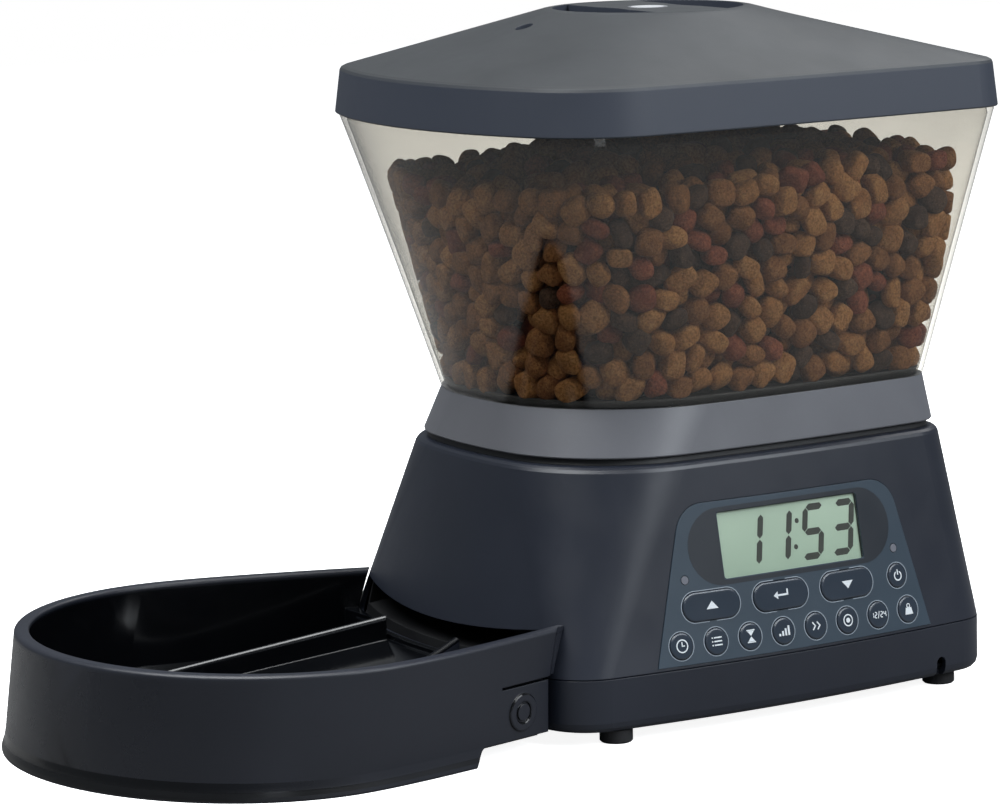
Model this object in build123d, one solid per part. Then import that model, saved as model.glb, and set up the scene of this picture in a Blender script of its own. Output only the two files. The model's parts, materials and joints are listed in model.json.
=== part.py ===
from build123d import *
import math
import os

# Automatic dry-food feeder. The bowl points to -Y and the control panel faces +X.
# The origin is on the floor, at the middle of the bounding box. All sizes are millimetres.

# ---------------------------------------------------------------- driving dimensions

foot_height = 6.7
base_bottom_z = foot_height
seam_z = 32.6                  # base tray meets the main housing
seam_groove = 0.7              # bevel that draws the line between them
housing_top_z = 128.6
band_bottom_z = 131.9
band_top_z = 154.4
band_step = 1.65               # the band stands this far inside the line of the body wall
lid_bottom_z = 289.2
lid_crease_z = 311.8
overall_height = 340.0

plastic_wall = 2.5
clear_wall = 2.4
running_gap = 0.05             # radial gap of every shaft in its bore
assembly_gap = 0.4             # gap between two mouldings that slide together

# Each plan outline is a front arc, two bowed sides and a nearly flat back.
# "half" is a half width, "front_y" and "back_y" are the corner lines.
SEAM = dict(half_front=111.0, half_back=94.4, front_y=-12.2, back_y=242.0,
            front_bow=19.6, side_bow=9.1, front_radius=26.0, back_radius=25.5)
SHOULDER = dict(half_front=94.8, half_back=79.9, front_y=8.3, back_y=228.9,
                front_bow=16.7, side_bow=4.8, front_radius=66.0, back_radius=25.0)
LID = dict(half_front=124.3, half_back=110.1, front_y=-7.2, back_y=245.0,
           front_bow=33.7, side_bow=2.6, front_radius=52.0, back_radius=22.5)
THROAT = dict(half_front=30.0, half_back=30.0, front_y=36.0, back_y=112.0,
              front_bow=0.5, side_bow=0.5, front_radius=6.0, back_radius=6.0)
ROOF_HOLE = dict(half_front=70.0, half_back=70.0, front_y=9.0, back_y=193.0,
                 front_bow=1.0, side_bow=1.0, front_radius=20.0, back_radius=20.0)

# Feeding screw and its drive, all turning about axes along Y.
auger_z = 70.0
auger_radius = 22.4
auger_shaft_radius = 4.0
auger_pitch = 34.0
trough_inner_radius = 24.0
trough_wall = 2.4
trough_front_y = 4.0
trough_back_y = 124.0
gear_module = 1.0
auger_gear_teeth = 48
pinion_teeth = 14
wheel_teeth = 42
gear_width = 6.0
compound_x = -(auger_gear_teeth + pinion_teeth) * gear_module / 2
motor_x = compound_x - (wheel_teeth + pinion_teeth) * gear_module / 2
gearbox_front_y = trough_back_y + 0.4
gearbox_back_y = 146.0
gear_front_y = gearbox_front_y + 3.6
wheel_front_y = gear_front_y + gear_width + 1.2
gearbox_x = (motor_x - 12.0, 30.0)
gearbox_z = (auger_z - 30.0, auger_z + 30.0)
gearbox_screw_inset = 5.0
motor_length = 37.8

# Mouth in the front of the housing, over the bowl. Its top edge sags in the middle.
mouth_half_width = 92.0
mouth_sill_z = 34.6
mouth_side_z = 55.5
mouth_middle_z = 49.0
mouth_corner_radius = 4.0
mouth_back_y = 4.0

# Bowl. Its plan is round at the front; the sides turn straight at bowl_turn_y and end as two arms.
BOWL_TOP = dict(back_half=101.7, full_half=126.0, side_y=-125.0, front_y=-236.6)
BOWL_BOTTOM = dict(back_half=99.4, full_half=123.4, side_y=-140.0, front_y=-243.8)
bowl_rim_z = 57.6
bowl_turn_y = -26.0
bowl_skin = 2.6
bowl_flare = 1.2               # how far the foot of the bowl spreads
basin_inset = 5.0              # from the outer skin to the outside of the basin wall
basin_wall = 2.4
basin_floor_z = 8.0
bowl_gap = 0.25                # between the bowl and the body behind it
arm_cut_depth = 2.5            # how deep the slanted cut behind an arm goes
slit_front_y = -53.0
slit_z = (34.3, 35.6)
arm_bottom_z = 9.0
arm_low_end_y = -22.2          # end of each arm below the slit
ARM_END = ((98.4, -16.3, 57.6), (91.0, -10.6, 57.6), (99.5, -21.4, 35.6))
RIDGE_ENDS = ((34.0, -34.0, 45.2), (96.0, -168.0, 13.8))
ridge_half_width = 2.2
ramp_top_z = 33.0
snap_y, snap_z = -39.4, 21.7
snap_ring_radius = 9.2
snap_groove_radius = 4.9
snap_stub_radius = 4.0

# Lid knob.
knob_y = 103.5
recess_radius = 47.2
recess_floor_z = 324.4
knob_top_z = overall_height - 0.2
knob_screw_radius = 1.5
badge_radius = 10.0
badge_sink = 0.8
tab_hole_y = 32.0
tab_hole_radius = 4.4

# Control panel on the +X side: y and z on the housing wall.
panel_proud = 0.4
panel_recess = 0.6
PANEL_CORNERS = [(30.8, seam_z + 2.0), (53.5, 109.0), (180.6, 108.6), (198.0, seam_z + 2.0)]
panel_corner_radius = 16.0
lcd_y, lcd_z = 116.8, 88.0
lcd_width, lcd_height = 85.5, 32.2
LED_PLACES = [(51.5, 73.9), (179.1, 74.1)]
led_radius = 2.0
small_row_z = 43.7
small_row_start_y = 45.0
small_row_pitch = 19.81
small_button_radius = 6.4
wide_row_z = 60.8
wide_button_length = 32.8
wide_button_height = 14.0
power_y = 179.2
power_radius = 5.9
button_gap = 0.35
button_proud = 1.2
button_travel = 0.6
switch_height = 3.5
button_flange = 1.1
board_depth = 14.0             # board face behind the outside of the panel, at its middle
board_thickness = 1.6
board_middle = (6.0, -2.0)     # along and up the wall, from the middle of the panel
board_size = (152.0, 70.0)
board_screw_inset = 4.0

SMALL_BUTTONS = ["clock", "preset", "meal_time", "meal_size", "slow", "manual", "hours", "units"]
WIDE_BUTTONS = {"up": 64.6, "enter": 105.5, "down": 146.5}

# Batteries: four D cells lying along X in two rows.
cell_radius = 16.6
cell_length = 60.5
cell_rows_y = (168.0, 203.0)
cell_z = 27.6
battery_half_x = 64.0
battery_front_y = 149.5
battery_back_y = 221.5
battery_top_z = 47.0
door_hinge_y = 151.8
door_hinge_z = 8.0
door_thickness = 2.1
door_edge_gap = 0.5

FEET = [(101.0, 14.2), (-101.0, 14.2), (84.1, 215.9), (-84.1, 215.9)]
foot_radius = 8.0
foot_plug_radius = 6.5
POSTS = [(90.0, 26.0), (-90.0, 26.0), (76.0, 198.0), (-76.0, 198.0)]
post_screw_radius = 1.5
cable_slot_y = 205.3
cable_slot_radius = 3.0
cable_slot_top_z = 16.8

UP = (Align.CENTER, Align.CENTER, Align.MIN)

os.makedirs("parts", exist_ok=True)


# ---------------------------------------------------------------- shared shapes

def between(low, high, part):
    """Blend two outline dictionaries: part 0 gives low, part 1 gives high."""
    return {key: low[key] + (high[key] - low[key]) * part for key in low}


def outline(shape, z, inset=0.0):
    """A closed plan face at height z, moved inwards by inset."""
    front, back = shape["half_front"] - inset, shape["half_back"] - inset
    front_y, back_y = shape["front_y"] + inset, shape["back_y"] - inset
    middle_y, middle_x = (front_y + back_y) / 2, (front + back) / 2 + shape["side_bow"]
    curves = [
        ThreePointArc((-front, front_y), (0, front_y - shape["front_bow"]), (front, front_y)),
        ThreePointArc((front, front_y), (middle_x, middle_y), (back, back_y)),
        Line((back, back_y), (-back, back_y)),
        ThreePointArc((-back, back_y), (-middle_x, middle_y), (-front, front_y)),
    ]
    face = make_face(curves)
    middle = (front_y + back_y) / 2
    front_radius = max(shape["front_radius"] - inset, 2.0)
    back_radius = max(shape["back_radius"] - inset, 2.0)
    face = fillet(face.vertices().filter_by(lambda v: v.Y < middle), front_radius)
    face = fillet(face.vertices().sort_by(Axis.Y)[-2:], back_radius)
    return Pos(0, 0, z) * face


def body_at(z):
    """Outline of the tapered lower body at height z, carried on past the shoulder."""
    return between(SEAM, SHOULDER, (z - seam_z) / (housing_top_z - seam_z))


def hopper_at(z):
    """Outline of the hopper wall at height z, between the band and the lid."""
    return between(body_at(band_top_z), LID, (z - band_top_z) / (lid_bottom_z - band_top_z))


def through(levels):
    """A straight-walled solid through (shape, z, inset) levels."""
    return loft([outline(shape, z, inset) for shape, z, inset in levels], ruled=True)


def stack(levels, shape_at):
    """A straight-walled solid through (z, inset) levels of a shape that changes with height."""
    return through([(shape_at(z), z, inset) for z, inset in levels])


def prism(shape, levels):
    """A straight-walled solid through (z, inset) levels of one plan shape."""
    return through([(shape, z, inset) for z, inset in levels])


def rounding(z_flat, z_side, inset, steps=3):
    """Levels of a quarter-round edge from a flat at z_flat to a side at z_side."""
    levels = []
    for step in range(steps + 1):
        angle = math.pi / 2 * step / steps
        z = z_flat + (z_side - z_flat) * (1 - math.cos(angle))
        levels.append((z, inset * (1 - math.sin(angle))))
    return levels


def block(x, y, z):
    """A box given by its (low, high) pair along each axis."""
    size = [pair[1] - pair[0] for pair in (x, y, z)]
    return Pos(x[0], y[0], z[0]) * Box(*size, align=(Align.MIN, Align.MIN, Align.MIN))


def sided(side, near, far):
    """The (low, high) x pair from near to far on one side: +1 is the panel side."""
    return tuple(sorted((side * near, side * far)))


def rod_x(radius, length, x, y, z):
    """A cylinder along X about its middle."""
    return Pos(x, y, z) * Rot(0, 90, 0) * Cylinder(radius, length)


def rod_y(radius, y, x=0.0, z=auger_z):
    """A cylinder along Y between the two y values."""
    return Pos(x, y[0], z) * Rot(-90, 0, 0) * Cylinder(radius, y[1] - y[0], align=UP)


def rod_z(radius, z, x=0.0, y=0.0):
    """A cylinder along Z between the two z values."""
    return Pos(x, y, z[0]) * Cylinder(radius, z[1] - z[0], align=UP)


def cross_slot(x, y, z, width=4.0):
    """The cross of a screw head, cut up to 1 mm each way from z."""
    return Pos(x, y, z) * (Box(width, 0.9, 2.0) + Box(0.9, width, 2.0))


def across_x(face, low=60.0, high=140.0):
    """Extrude a face drawn with (y, z) coordinates along +X from low to high."""
    plane = Plane(origin=(low, 0, 0), x_dir=(0, 1, 0), z_dir=(1, 0, 0))
    return extrude(plane * face, high - low)


def save(shape, node):
    """Write one node as a STEP file."""
    shape = shape if isinstance(shape, Compound) else Compound(children=[shape])
    export_step(shape, f"parts/{node}.step")


# ---------------------------------------------------------------- gears

def gear(teeth, width):
    """An involute spur gear on the Z axis, with a tooth centred on +X."""
    pressure = math.radians(25)
    pitch = teeth * gear_module / 2
    base, tip, root = pitch * math.cos(pressure), pitch + 0.9 * gear_module, pitch - 1.2 * gear_module
    backlash = 0.10
    half_angle = (math.pi / 2 - backlash) / teeth + math.tan(pressure) - pressure

    def flank(radius):
        """Polar angle from the tooth's centre line to its flank at a radius."""
        if radius <= base:
            return half_angle
        roll = math.sqrt((radius / base) ** 2 - 1)
        return half_angle - (roll - math.atan(roll))

    radii = [max(root, base) + (tip - max(root, base)) * step / 2 for step in range(3)]
    body = Cylinder(root + 0.02, width, align=UP)
    right = [Vector(r * math.cos(flank(r)), -r * math.sin(flank(r))) for r in radii]
    left = [Vector(v.X, -v.Y) for v in right]
    inner = 0.8 * root
    start, end = Vector(inner, -inner * math.tan(flank(base))), Vector(inner, inner * math.tan(flank(base)))
    tooth = make_face([
        Line(start, right[0]), ThreePointArc(*right), ThreePointArc(right[2], (tip, 0), left[2]),
        ThreePointArc(left[2], left[1], left[0]), Line(left[0], end), Line(end, start),
    ])
    tooth = extrude(tooth, width)
    return body + [Rot(0, 0, 360 * index / teeth) * tooth for index in range(teeth)]


def gear_y(teeth, y, x=0.0, turn=0.0):
    """A gear on an axis along Y, from y[0] to y[1]; turn is in degrees about the axis."""
    return Pos(x, y[0], auger_z) * Rot(-90, 0, 0) * Rot(0, 0, turn) * gear(teeth, y[1] - y[0])


# ---------------------------------------------------------------- base and battery bay

def base_tray():
    edge = rounding(base_bottom_z, base_bottom_z + 5.0, 4.5)
    outer = prism(SEAM, edge + [(seam_z, 0.0)])
    inner_edge = rounding(base_bottom_z + plastic_wall, base_bottom_z + plastic_wall + 4.0, 3.5)
    tray = outer - prism(SEAM, [(z, inset + plastic_wall) for z, inset in inner_edge + [(seam_z + 1, 0.0)]])
    for x, y in POSTS:
        tray += rod_z(5.0, (base_bottom_z + 1, seam_z - 1.0), x, y)
    for x, y in FEET:
        tray += rod_z(foot_radius + 1.5, (base_bottom_z + 0.5, base_bottom_z + 4.5), x, y) & outer
        tray -= rod_z(foot_plug_radius, (base_bottom_z - 1, base_bottom_z + 2.0), x, y)
    for x, y in POSTS:
        tray -= rod_z(post_screw_radius + 0.3, (base_bottom_z - 1, seam_z + 1), x, y)
        tray -= rod_z(3.6, (base_bottom_z - 1, base_bottom_z + 4), x, y)
    tray -= block((-battery_half_x, battery_half_x), (battery_front_y, battery_back_y), (0, seam_z))
    slot_y = (cable_slot_y - cable_slot_radius, cable_slot_y + cable_slot_radius)
    slot_arch_z = cable_slot_top_z - cable_slot_radius
    for side in (-1, 1):
        tray -= block(sided(side, 95.0, 108.0), slot_y, (0, slot_arch_z))
        tray -= rod_x(cable_slot_radius, 13.0, side * 101.5, cable_slot_y, slot_arch_z)
        tray -= rod_x(door_thickness / 2, 2.0, side * (battery_half_x + 1.0), door_hinge_y, door_hinge_z)
    return tray


def rubber_feet():
    pads = []
    for x, y in FEET:
        pad = rod_z(foot_radius, (0, foot_height), x, y)
        pad = chamfer(pad.edges().group_by(Axis.Z)[0], 0.8)
        pads.append(pad + rod_z(foot_plug_radius, (foot_height, foot_height + 2.0), x, y))
    return Compound(children=pads)


def base_screws():
    screws = []
    head_z = (base_bottom_z + 1.6, base_bottom_z + 4.0)
    for x, y in POSTS:
        screw = rod_z(3.3, head_z, x, y) + rod_z(post_screw_radius, (head_z[1], seam_z + 18.0), x, y)
        screws.append(screw - cross_slot(x, y, head_z[0]))
    return Compound(children=screws)


def battery_door():
    half = battery_half_x - door_edge_gap
    low, high = door_hinge_z - door_thickness / 2, door_hinge_z + door_thickness / 2
    door = block((-half, half), (door_hinge_y, battery_back_y - door_edge_gap), (low, high))
    door += rod_x(door_thickness / 2, 2 * half, 0, door_hinge_y, door_hinge_z)
    door += rod_x(door_thickness / 2 - running_gap, 2 * (battery_half_x + 1.4), 0, door_hinge_y, door_hinge_z)
    for index in range(5):
        door += Pos(0, battery_back_y - 12.0 + index * 2.0, low) * Box(30.0, 0.8, 0.6)
    return door


def battery_box():
    wall = 2.2
    outer = block((-battery_half_x - wall, battery_half_x + wall),
                  (battery_front_y - wall, battery_back_y + wall),
                  (base_bottom_z + plastic_wall + 0.2, battery_top_z))
    inner = block((-battery_half_x, battery_half_x), (battery_front_y, battery_back_y),
                  (0, battery_top_z - 2.0))
    return outer - inner


def battery_cells():
    cells = []
    for row_y in cell_rows_y:
        for side in (-1, 1):
            centre = side * (cell_length / 2 + 0.6)
            can = rod_x(cell_radius, cell_length - 3.0, centre, row_y, cell_z)
            tip = rod_x(4.5, 1.5, centre + (cell_length - 1.5) / 2, row_y, cell_z)
            cells.append(can + tip)
    return Compound(children=cells)


def battery_contacts():
    places = [(side * (battery_half_x - 0.4), row_y) for row_y in cell_rows_y for side in (-1, 1)]
    return Compound(children=[Pos(x, y, cell_z) * Box(0.6, 20.0, 20.0) for x, y in places])


# ---------------------------------------------------------------- housing, collar, hopper

def housing_solid(offset=0.0):
    """The main housing's outside moved outwards by offset, without its rounded shoulder."""
    return stack([(seam_z, -offset), (housing_top_z, -offset)], body_at)


def panel_face():
    """The control panel's outline, drawn with (y, z) coordinates."""
    face = make_face(Polyline(*PANEL_CORNERS, close=True))
    return fillet(face.vertices().filter_by(lambda v: v.Y > 100.0), panel_corner_radius)


def wall_plane(y, z):
    """The plane tangent to the +X housing wall at (y, z), with x along the wall and z outwards."""
    hit = housing_solid().faces().sort_by(Axis.X)[-1]
    point, normal = hit.find_intersection_points(Axis((200, y, z), (-1, 0, 0)))[0]
    if normal.X < 0:
        normal = -normal
    along = Vector(0, 0, 1).cross(normal)
    return Plane(origin=point, x_dir=along, z_dir=normal)


def button_shape(kind, grow=0.0):
    """A key's outline, grown all round."""
    if kind == "wide":
        return SlotOverall(wide_button_length + 2 * grow, wide_button_height + 2 * grow)
    return Circle({"power": power_radius, "small": small_button_radius}[kind] + grow)


def button_table():
    """name: (kind, y, z) of every push button."""
    table = {f"button_{name}": ("wide", y, wide_row_z) for name, y in WIDE_BUTTONS.items()}
    table["button_power"] = ("power", power_y, wide_row_z)
    for index, name in enumerate(SMALL_BUTTONS):
        table[f"button_{name}"] = ("small", small_row_start_y + index * small_row_pitch, small_row_z)
    return table


BUTTONS = button_table()
BUTTON_PLANES = {name: wall_plane(y, z) for name, (kind, y, z) in BUTTONS.items()}
PANEL_PLANE = wall_plane(110.0, 72.0)
BOARD_PLANE = PANEL_PLANE.offset(-board_depth)
LED_PLANES = [wall_plane(y, z) for y, z in LED_PLACES]
LCD_PLANE = wall_plane(lcd_y, lcd_z)


def button_holes(depth=12.0):
    """Cutters for the twelve keys and the two indicator lights, through the wall only."""
    holes = [extrude(BUTTON_PLANES[name] * button_shape(kind, button_gap), depth, both=True)
             for name, (kind, y, z) in BUTTONS.items()]
    holes += [extrude(plane * Circle(led_radius + 0.3), depth, both=True) for plane in LED_PLANES]
    return [hole & block((80, 140), (0, 240), (0, 200)) for hole in holes]


def lcd_window(grow, depth=20.0):
    """A cutter through the wall in the shape of the display window, grown all round."""
    window = RectangleRounded(lcd_width + 2 * grow, lcd_height + 2 * grow, 1.5)
    return extrude(LCD_PLANE * window, depth, both=True) & block((70, 140), (0, 240), (0, 200))


def mouth_cut():
    """The mouth through the front wall: flat sill, upright sides, sagging top edge."""
    half = mouth_half_width
    face = make_face([
        Line((-half, mouth_sill_z), (half, mouth_sill_z)),
        Line((half, mouth_sill_z), (half, mouth_side_z)),
        ThreePointArc((half, mouth_side_z), (0, mouth_middle_z), (-half, mouth_side_z)),
        Line((-half, mouth_side_z), (-half, mouth_sill_z)),
    ])
    face = fillet(face.vertices(), mouth_corner_radius)
    return extrude(Plane.XZ.offset(-mouth_back_y) * face, 64.0)


def main_housing():
    shoulder = rounding(housing_top_z, housing_top_z - 3.0, 3.0)[::-1]
    outer = stack([(seam_z, seam_groove), (seam_z + seam_groove, 0.0)] + shoulder, body_at)
    shell = outer - stack([(seam_z - 1, plastic_wall), (housing_top_z - plastic_wall, plastic_wall)], body_at)
    wall_core = stack([(seam_z - 1, 1.0), (housing_top_z, 1.0)], body_at)
    pillar_top_z = seam_z + 30.0
    for x, y in POSTS:
        rib_x = sided(math.copysign(1, x), abs(x), 115.0)
        pillar = rod_z(4.2, (seam_z - 0.8, pillar_top_z), x, y)
        pillar += block(rib_x, (y - 1.2, y + 1.2), (seam_z + 0.4, pillar_top_z))
        shell += pillar & wall_core
    for x, y in POSTS:
        shell -= rod_z(post_screw_radius, (seam_z - 2, seam_z + 19.0), x, y)
    shell -= prism(ROOF_HOLE, [(housing_top_z - 5, 0.0), (housing_top_z + 5, 0.0)])
    shell -= mouth_cut()
    shell -= across_x(offset(panel_face(), 0.15)) - housing_solid(-panel_recess)
    for hole in button_holes():
        shell -= hole
    return shell - lcd_window(0.3)


def collar_neck():
    ring = stack([(housing_top_z + 0.05, 4.6), (band_bottom_z - 0.05, 4.6)], body_at)
    return ring - prism(ROOF_HOLE, [(housing_top_z - 2, 0.0), (band_bottom_z + 2, 0.0)])


def collar_band():
    outer = stack([(band_bottom_z, band_step + 0.5), (band_bottom_z + 0.6, band_step),
                   (band_top_z, band_step)], body_at)
    floor_z = band_bottom_z + 2.4
    inset = band_step + plastic_wall
    inner = stack([(floor_z, inset), (band_top_z + 2, inset)], body_at)
    return outer - inner - prism(ROOF_HOLE, [(band_bottom_z - 2, 0.0), (floor_z + 2, 0.0)])


def hopper():
    skirt = band_step + plastic_wall + assembly_gap
    rest_z = band_top_z + 0.1
    flush = band_step - 0.2
    outside = [(body_at(z), z, skirt) for z in (band_bottom_z + 4.0, rest_z)]
    walls = [(rest_z + 0.05, band_step + 0.1), (rest_z + 1.0, flush),
             (lid_bottom_z - 1.2, 1.5), (lid_bottom_z - 0.2, 1.7)]
    outside += [(hopper_at(z), z, inset) for z, inset in walls]
    outside += [(LID, lid_bottom_z - 0.1, 3.1), (LID, lid_bottom_z + 7.8, 4.1)]
    inside = [(body_at(z), z, skirt + clear_wall) for z in (band_bottom_z + 3.0, band_top_z - 2.0)]
    inner_walls = [(band_top_z + 2.6, flush), (lid_bottom_z - 4.0, 1.5)]
    inside += [(hopper_at(z), z, inset + clear_wall) for z, inset in inner_walls]
    inside += [(LID, lid_bottom_z + 1.0, 3.2 + clear_wall), (LID, lid_bottom_z + 9.0, 4.2 + clear_wall)]
    return through(outside) - through(inside)


def hopper_funnel():
    lip = band_step + clear_wall + 0.5
    deep = band_step + plastic_wall + assembly_gap + clear_wall + 0.5

    def levels(wall, extra):
        """The funnel's levels, wall mm inside its outer face and running extra mm past its ends."""
        top, ledge, knee, bend = band_top_z + 3.8 + extra, band_top_z + 3.0, band_top_z - 2.2, 146.0
        return [(hopper_at(top), top, lip + wall), (hopper_at(ledge), ledge, lip + wall),
                (body_at(knee), knee, deep + wall), (body_at(bend), bend, deep + wall),
                (THROAT, 104.0, wall), (THROAT, 98.0 - extra, wall)]
    return through(levels(0.0, 0.0)) - through(levels(2.2, 1.0))


# ---------------------------------------------------------------- feeding screw and drive

def auger_trough():
    outer = trough_inner_radius + trough_wall
    body = rod_y(outer, (trough_front_y, trough_back_y))
    neck_z = auger_z + 8
    body += Pos(0, 74.0, neck_z) * extrude(RectangleRounded(54.4, 70.0, 4.0), 103.0 - neck_z)
    body -= rod_y(trough_inner_radius, (trough_front_y - 1, trough_back_y - trough_wall))
    body -= block((-trough_inner_radius, trough_inner_radius), (42.0, 106.0), (auger_z, 104.0))
    body -= rod_y(7.0, (trough_back_y - 5, trough_back_y + 1))
    for side in (-1, 1):
        foot = block((side * 16 - 2, side * 16 + 2), (50.0, 100.0), (base_bottom_z + 3.0, auger_z - 15.0))
        body += foot - rod_y(trough_inner_radius + 1, (0, 130))
    return body


def auger_bush():
    back = trough_back_y
    bush = rod_y(7.0, (back - trough_wall, back + 2.6))
    bush += rod_y(9.0, (back - trough_wall - 1.4, back - trough_wall))
    return bush - rod_y(auger_shaft_radius + running_gap, (back - 10, back + 10))


def auger_screw():
    length = 3 * auger_pitch
    path = Helix(auger_pitch, length, auger_shaft_radius + 8)
    start = path @ 0
    section = Plane(origin=start, x_dir=(1, 0, 0), z_dir=path % 0) * Pos(
        (auger_radius - auger_shaft_radius - 17) / 2 + 0.5, 0) * Rectangle(
        auger_radius - auger_shaft_radius + 1.0, 2.4)
    flight = sweep(section, path, is_frenet=True)
    shaft = Pos(0, 0, -2) * Cylinder(7.0, length + 4, align=UP)
    screw = (flight + shaft) & Pos(0, 0, -2) * Cylinder(
        auger_radius, length + 4, align=UP)
    screw = Pos(0, trough_front_y + 8, auger_z) * Rot(-90, 0, 0) * screw
    return screw + rod_y(auger_shaft_radius, (trough_front_y + 40, gearbox_back_y + 1.0))


def auger_gear():
    wheel = gear_y(auger_gear_teeth, (gear_front_y, gear_front_y + gear_width))
    wheel += rod_y(8.0, (gear_front_y + gear_width, gear_front_y + gear_width + 4.0))
    return wheel - rod_y(auger_shaft_radius, (gear_front_y - 5, gear_front_y + 20))


def compound_gear():
    half_tooth = 180.0 / pinion_teeth
    pinion = gear_y(pinion_teeth, (gear_front_y - 0.2, wheel_front_y), compound_x, half_tooth)
    wheel = gear_y(wheel_teeth, (wheel_front_y, wheel_front_y + 4.6), compound_x)
    return pinion + wheel - rod_y(2.0 + running_gap, (gear_front_y - 9, gear_front_y + 30), compound_x)


def compound_axle():
    return rod_y(2.0, (gearbox_front_y + 0.8, gearbox_back_y - 0.6), compound_x)


def motor_pinion():
    pinion = gear_y(pinion_teeth, (wheel_front_y - 0.4, wheel_front_y + 5.2), motor_x, 180.0 / pinion_teeth)
    return pinion + rod_y(1.5, (wheel_front_y - 2.0, gearbox_back_y + 12.0), motor_x)


def motor():
    front = gearbox_back_y + 0.2
    back = front + motor_length
    can = rod_y(14.0, (front, back), motor_x)
    can = fillet(can.edges().group_by(Axis.Y)[-1], 2.0)
    can += rod_y(4.5, (back, back + 2.0), motor_x)
    for side in (-1, 1):
        can += Pos(motor_x + side * 8, back + 2.0, auger_z) * Box(2.4, 5.0, 0.6)
    return can - rod_y(1.5 + running_gap, (gearbox_back_y - 1, gearbox_back_y + 12.5), motor_x)


def gearbox_corners():
    """The (x, z) places of the four gearbox screws."""
    inset = gearbox_screw_inset
    return [(x, z) for x in (gearbox_x[0] + inset, gearbox_x[1] - inset)
            for z in (gearbox_z[0] + inset, gearbox_z[1] - inset)]


def gearbox_plate():
    plate = block(gearbox_x, (gearbox_front_y, gearbox_front_y + 2.4), gearbox_z)
    plate += rod_y(4.5, (gearbox_front_y + 2.4, gearbox_front_y + 3.2), compound_x)
    plate -= rod_y(7.05, (gearbox_front_y - 1, gearbox_front_y + 3))
    plate -= rod_y(2.0, (gearbox_front_y + 0.8, gearbox_front_y + 9), compound_x)
    for x, z in gearbox_corners():
        plate -= rod_y(1.3, (gearbox_front_y - 1, gearbox_front_y + 9), x, z)
    return plate


def gearbox_cover():
    front = gearbox_front_y + 2.5
    cover = block(gearbox_x, (front, gearbox_back_y), gearbox_z)
    hollow = block((gearbox_x[0] + 2, gearbox_x[1] - 2), (front - 1, gearbox_back_y - 2.0),
                   (gearbox_z[0] + 2, gearbox_z[1] - 2))
    for x, z in gearbox_corners():
        hollow -= rod_y(3.4, (front - 1, gearbox_back_y), x, z)
    cover -= hollow
    cover -= rod_y(auger_shaft_radius + running_gap, (front, gearbox_back_y + 1))
    cover -= rod_y(2.0, (front, gearbox_back_y - 0.6), compound_x)
    cover -= rod_y(3.0, (front, gearbox_back_y + 1), motor_x)
    for x, z in gearbox_corners():
        cover -= rod_y(1.3, (front - 1, gearbox_back_y - 4), x, z)
    return cover


def gearbox_screws():
    screws = []
    for x, z in gearbox_corners():
        head = rod_y(2.6, (gearbox_front_y - 1.6, gearbox_front_y - 0.02), x, z)
        screws.append(head + rod_y(1.3, (gearbox_front_y - 0.02, gearbox_back_y - 5), x, z))
    return Compound(children=screws)


def outlet_chute():
    inside = stack([(seam_z, plastic_wall + 0.4), (80.0, plastic_wall + 0.4)], body_at)
    hood_half, wall = 88.0, 2.2
    hood = block((-hood_half, hood_half), (-40, 3.4), (seam_z + 0.6, 56.0)) & inside
    slope = make_face(Polyline((-45, 36.0), (1.4, 43.0), (1.4, 70.0), (-45, 70.0), close=True))
    return hood - across_x(slope, wall - hood_half, hood_half - wall) - rod_y(trough_inner_radius, (-10, 20))


# ---------------------------------------------------------------- lid

def top_circle(z, radius, pattern):
    """A circle at height z, cut into arcs that line up with the vertices of the pattern face."""
    angles = sorted(math.atan2(v.Y - knob_y, v.X) for v in pattern.vertices())
    angles.append(angles[0] + 2 * math.pi)
    arcs = []
    for low, high in zip(angles, angles[1:]):
        turns = (low, (low + high) / 2, high)
        arcs.append(ThreePointArc(*[(radius * math.cos(a), knob_y + radius * math.sin(a)) for a in turns]))
    return Pos(0, 0, z) * make_face(arcs)


def lid_shell(levels, circles):
    """A solid lid: (z, inset) levels of the rim, then (z, radius) circles round the knob."""
    faces = [outline(LID, z, inset) for z, inset in levels]
    rim = loft(faces, ruled=True)
    pattern = faces[-1]
    rings = [pattern] + [top_circle(z, radius, pattern) for z, radius in circles]
    return rim + loft(rings, ruled=True)


def lid():
    outer = lid_shell([(lid_bottom_z, 0.3), (lid_bottom_z + 0.6, 0.0), (lid_crease_z - 1.4, 2.3),
                       (lid_crease_z, 3.0), (lid_crease_z + 0.9, 4.6)],
                      [(overall_height - 0.5, 52.5), (overall_height, 49.5)])
    inner = lid_shell([(lid_bottom_z - 1, 2.6), (lid_crease_z - 2.0, 5.0)],
                      [(overall_height - 3.4, 50.0)])
    shell = outer - inner
    cup = rod_z(recess_radius + 2.4, (recess_floor_z - 2.4, overall_height - 1.5), 0, knob_y)
    shell += cup
    shell -= rod_z(recess_radius, (recess_floor_z, overall_height + 1), 0, knob_y)
    shell -= rod_z(6.0 + running_gap, (recess_floor_z - 5, recess_floor_z + 1), 0, knob_y)
    shell += rod_z(tab_hole_radius + 2.6, (326.0, 334.0), 0, tab_hole_y) & outer
    return shell - rod_z(tab_hole_radius, (328.0, 345.0), 0, tab_hole_y)


def lid_seal():
    bottom, top = lid_bottom_z + 8.1, lid_bottom_z + 10.3
    return prism(LID, [(bottom, 4.2), (top, 4.2)]) - prism(LID, [(bottom - 1, 8.0), (top + 1, 8.0)])


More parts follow.
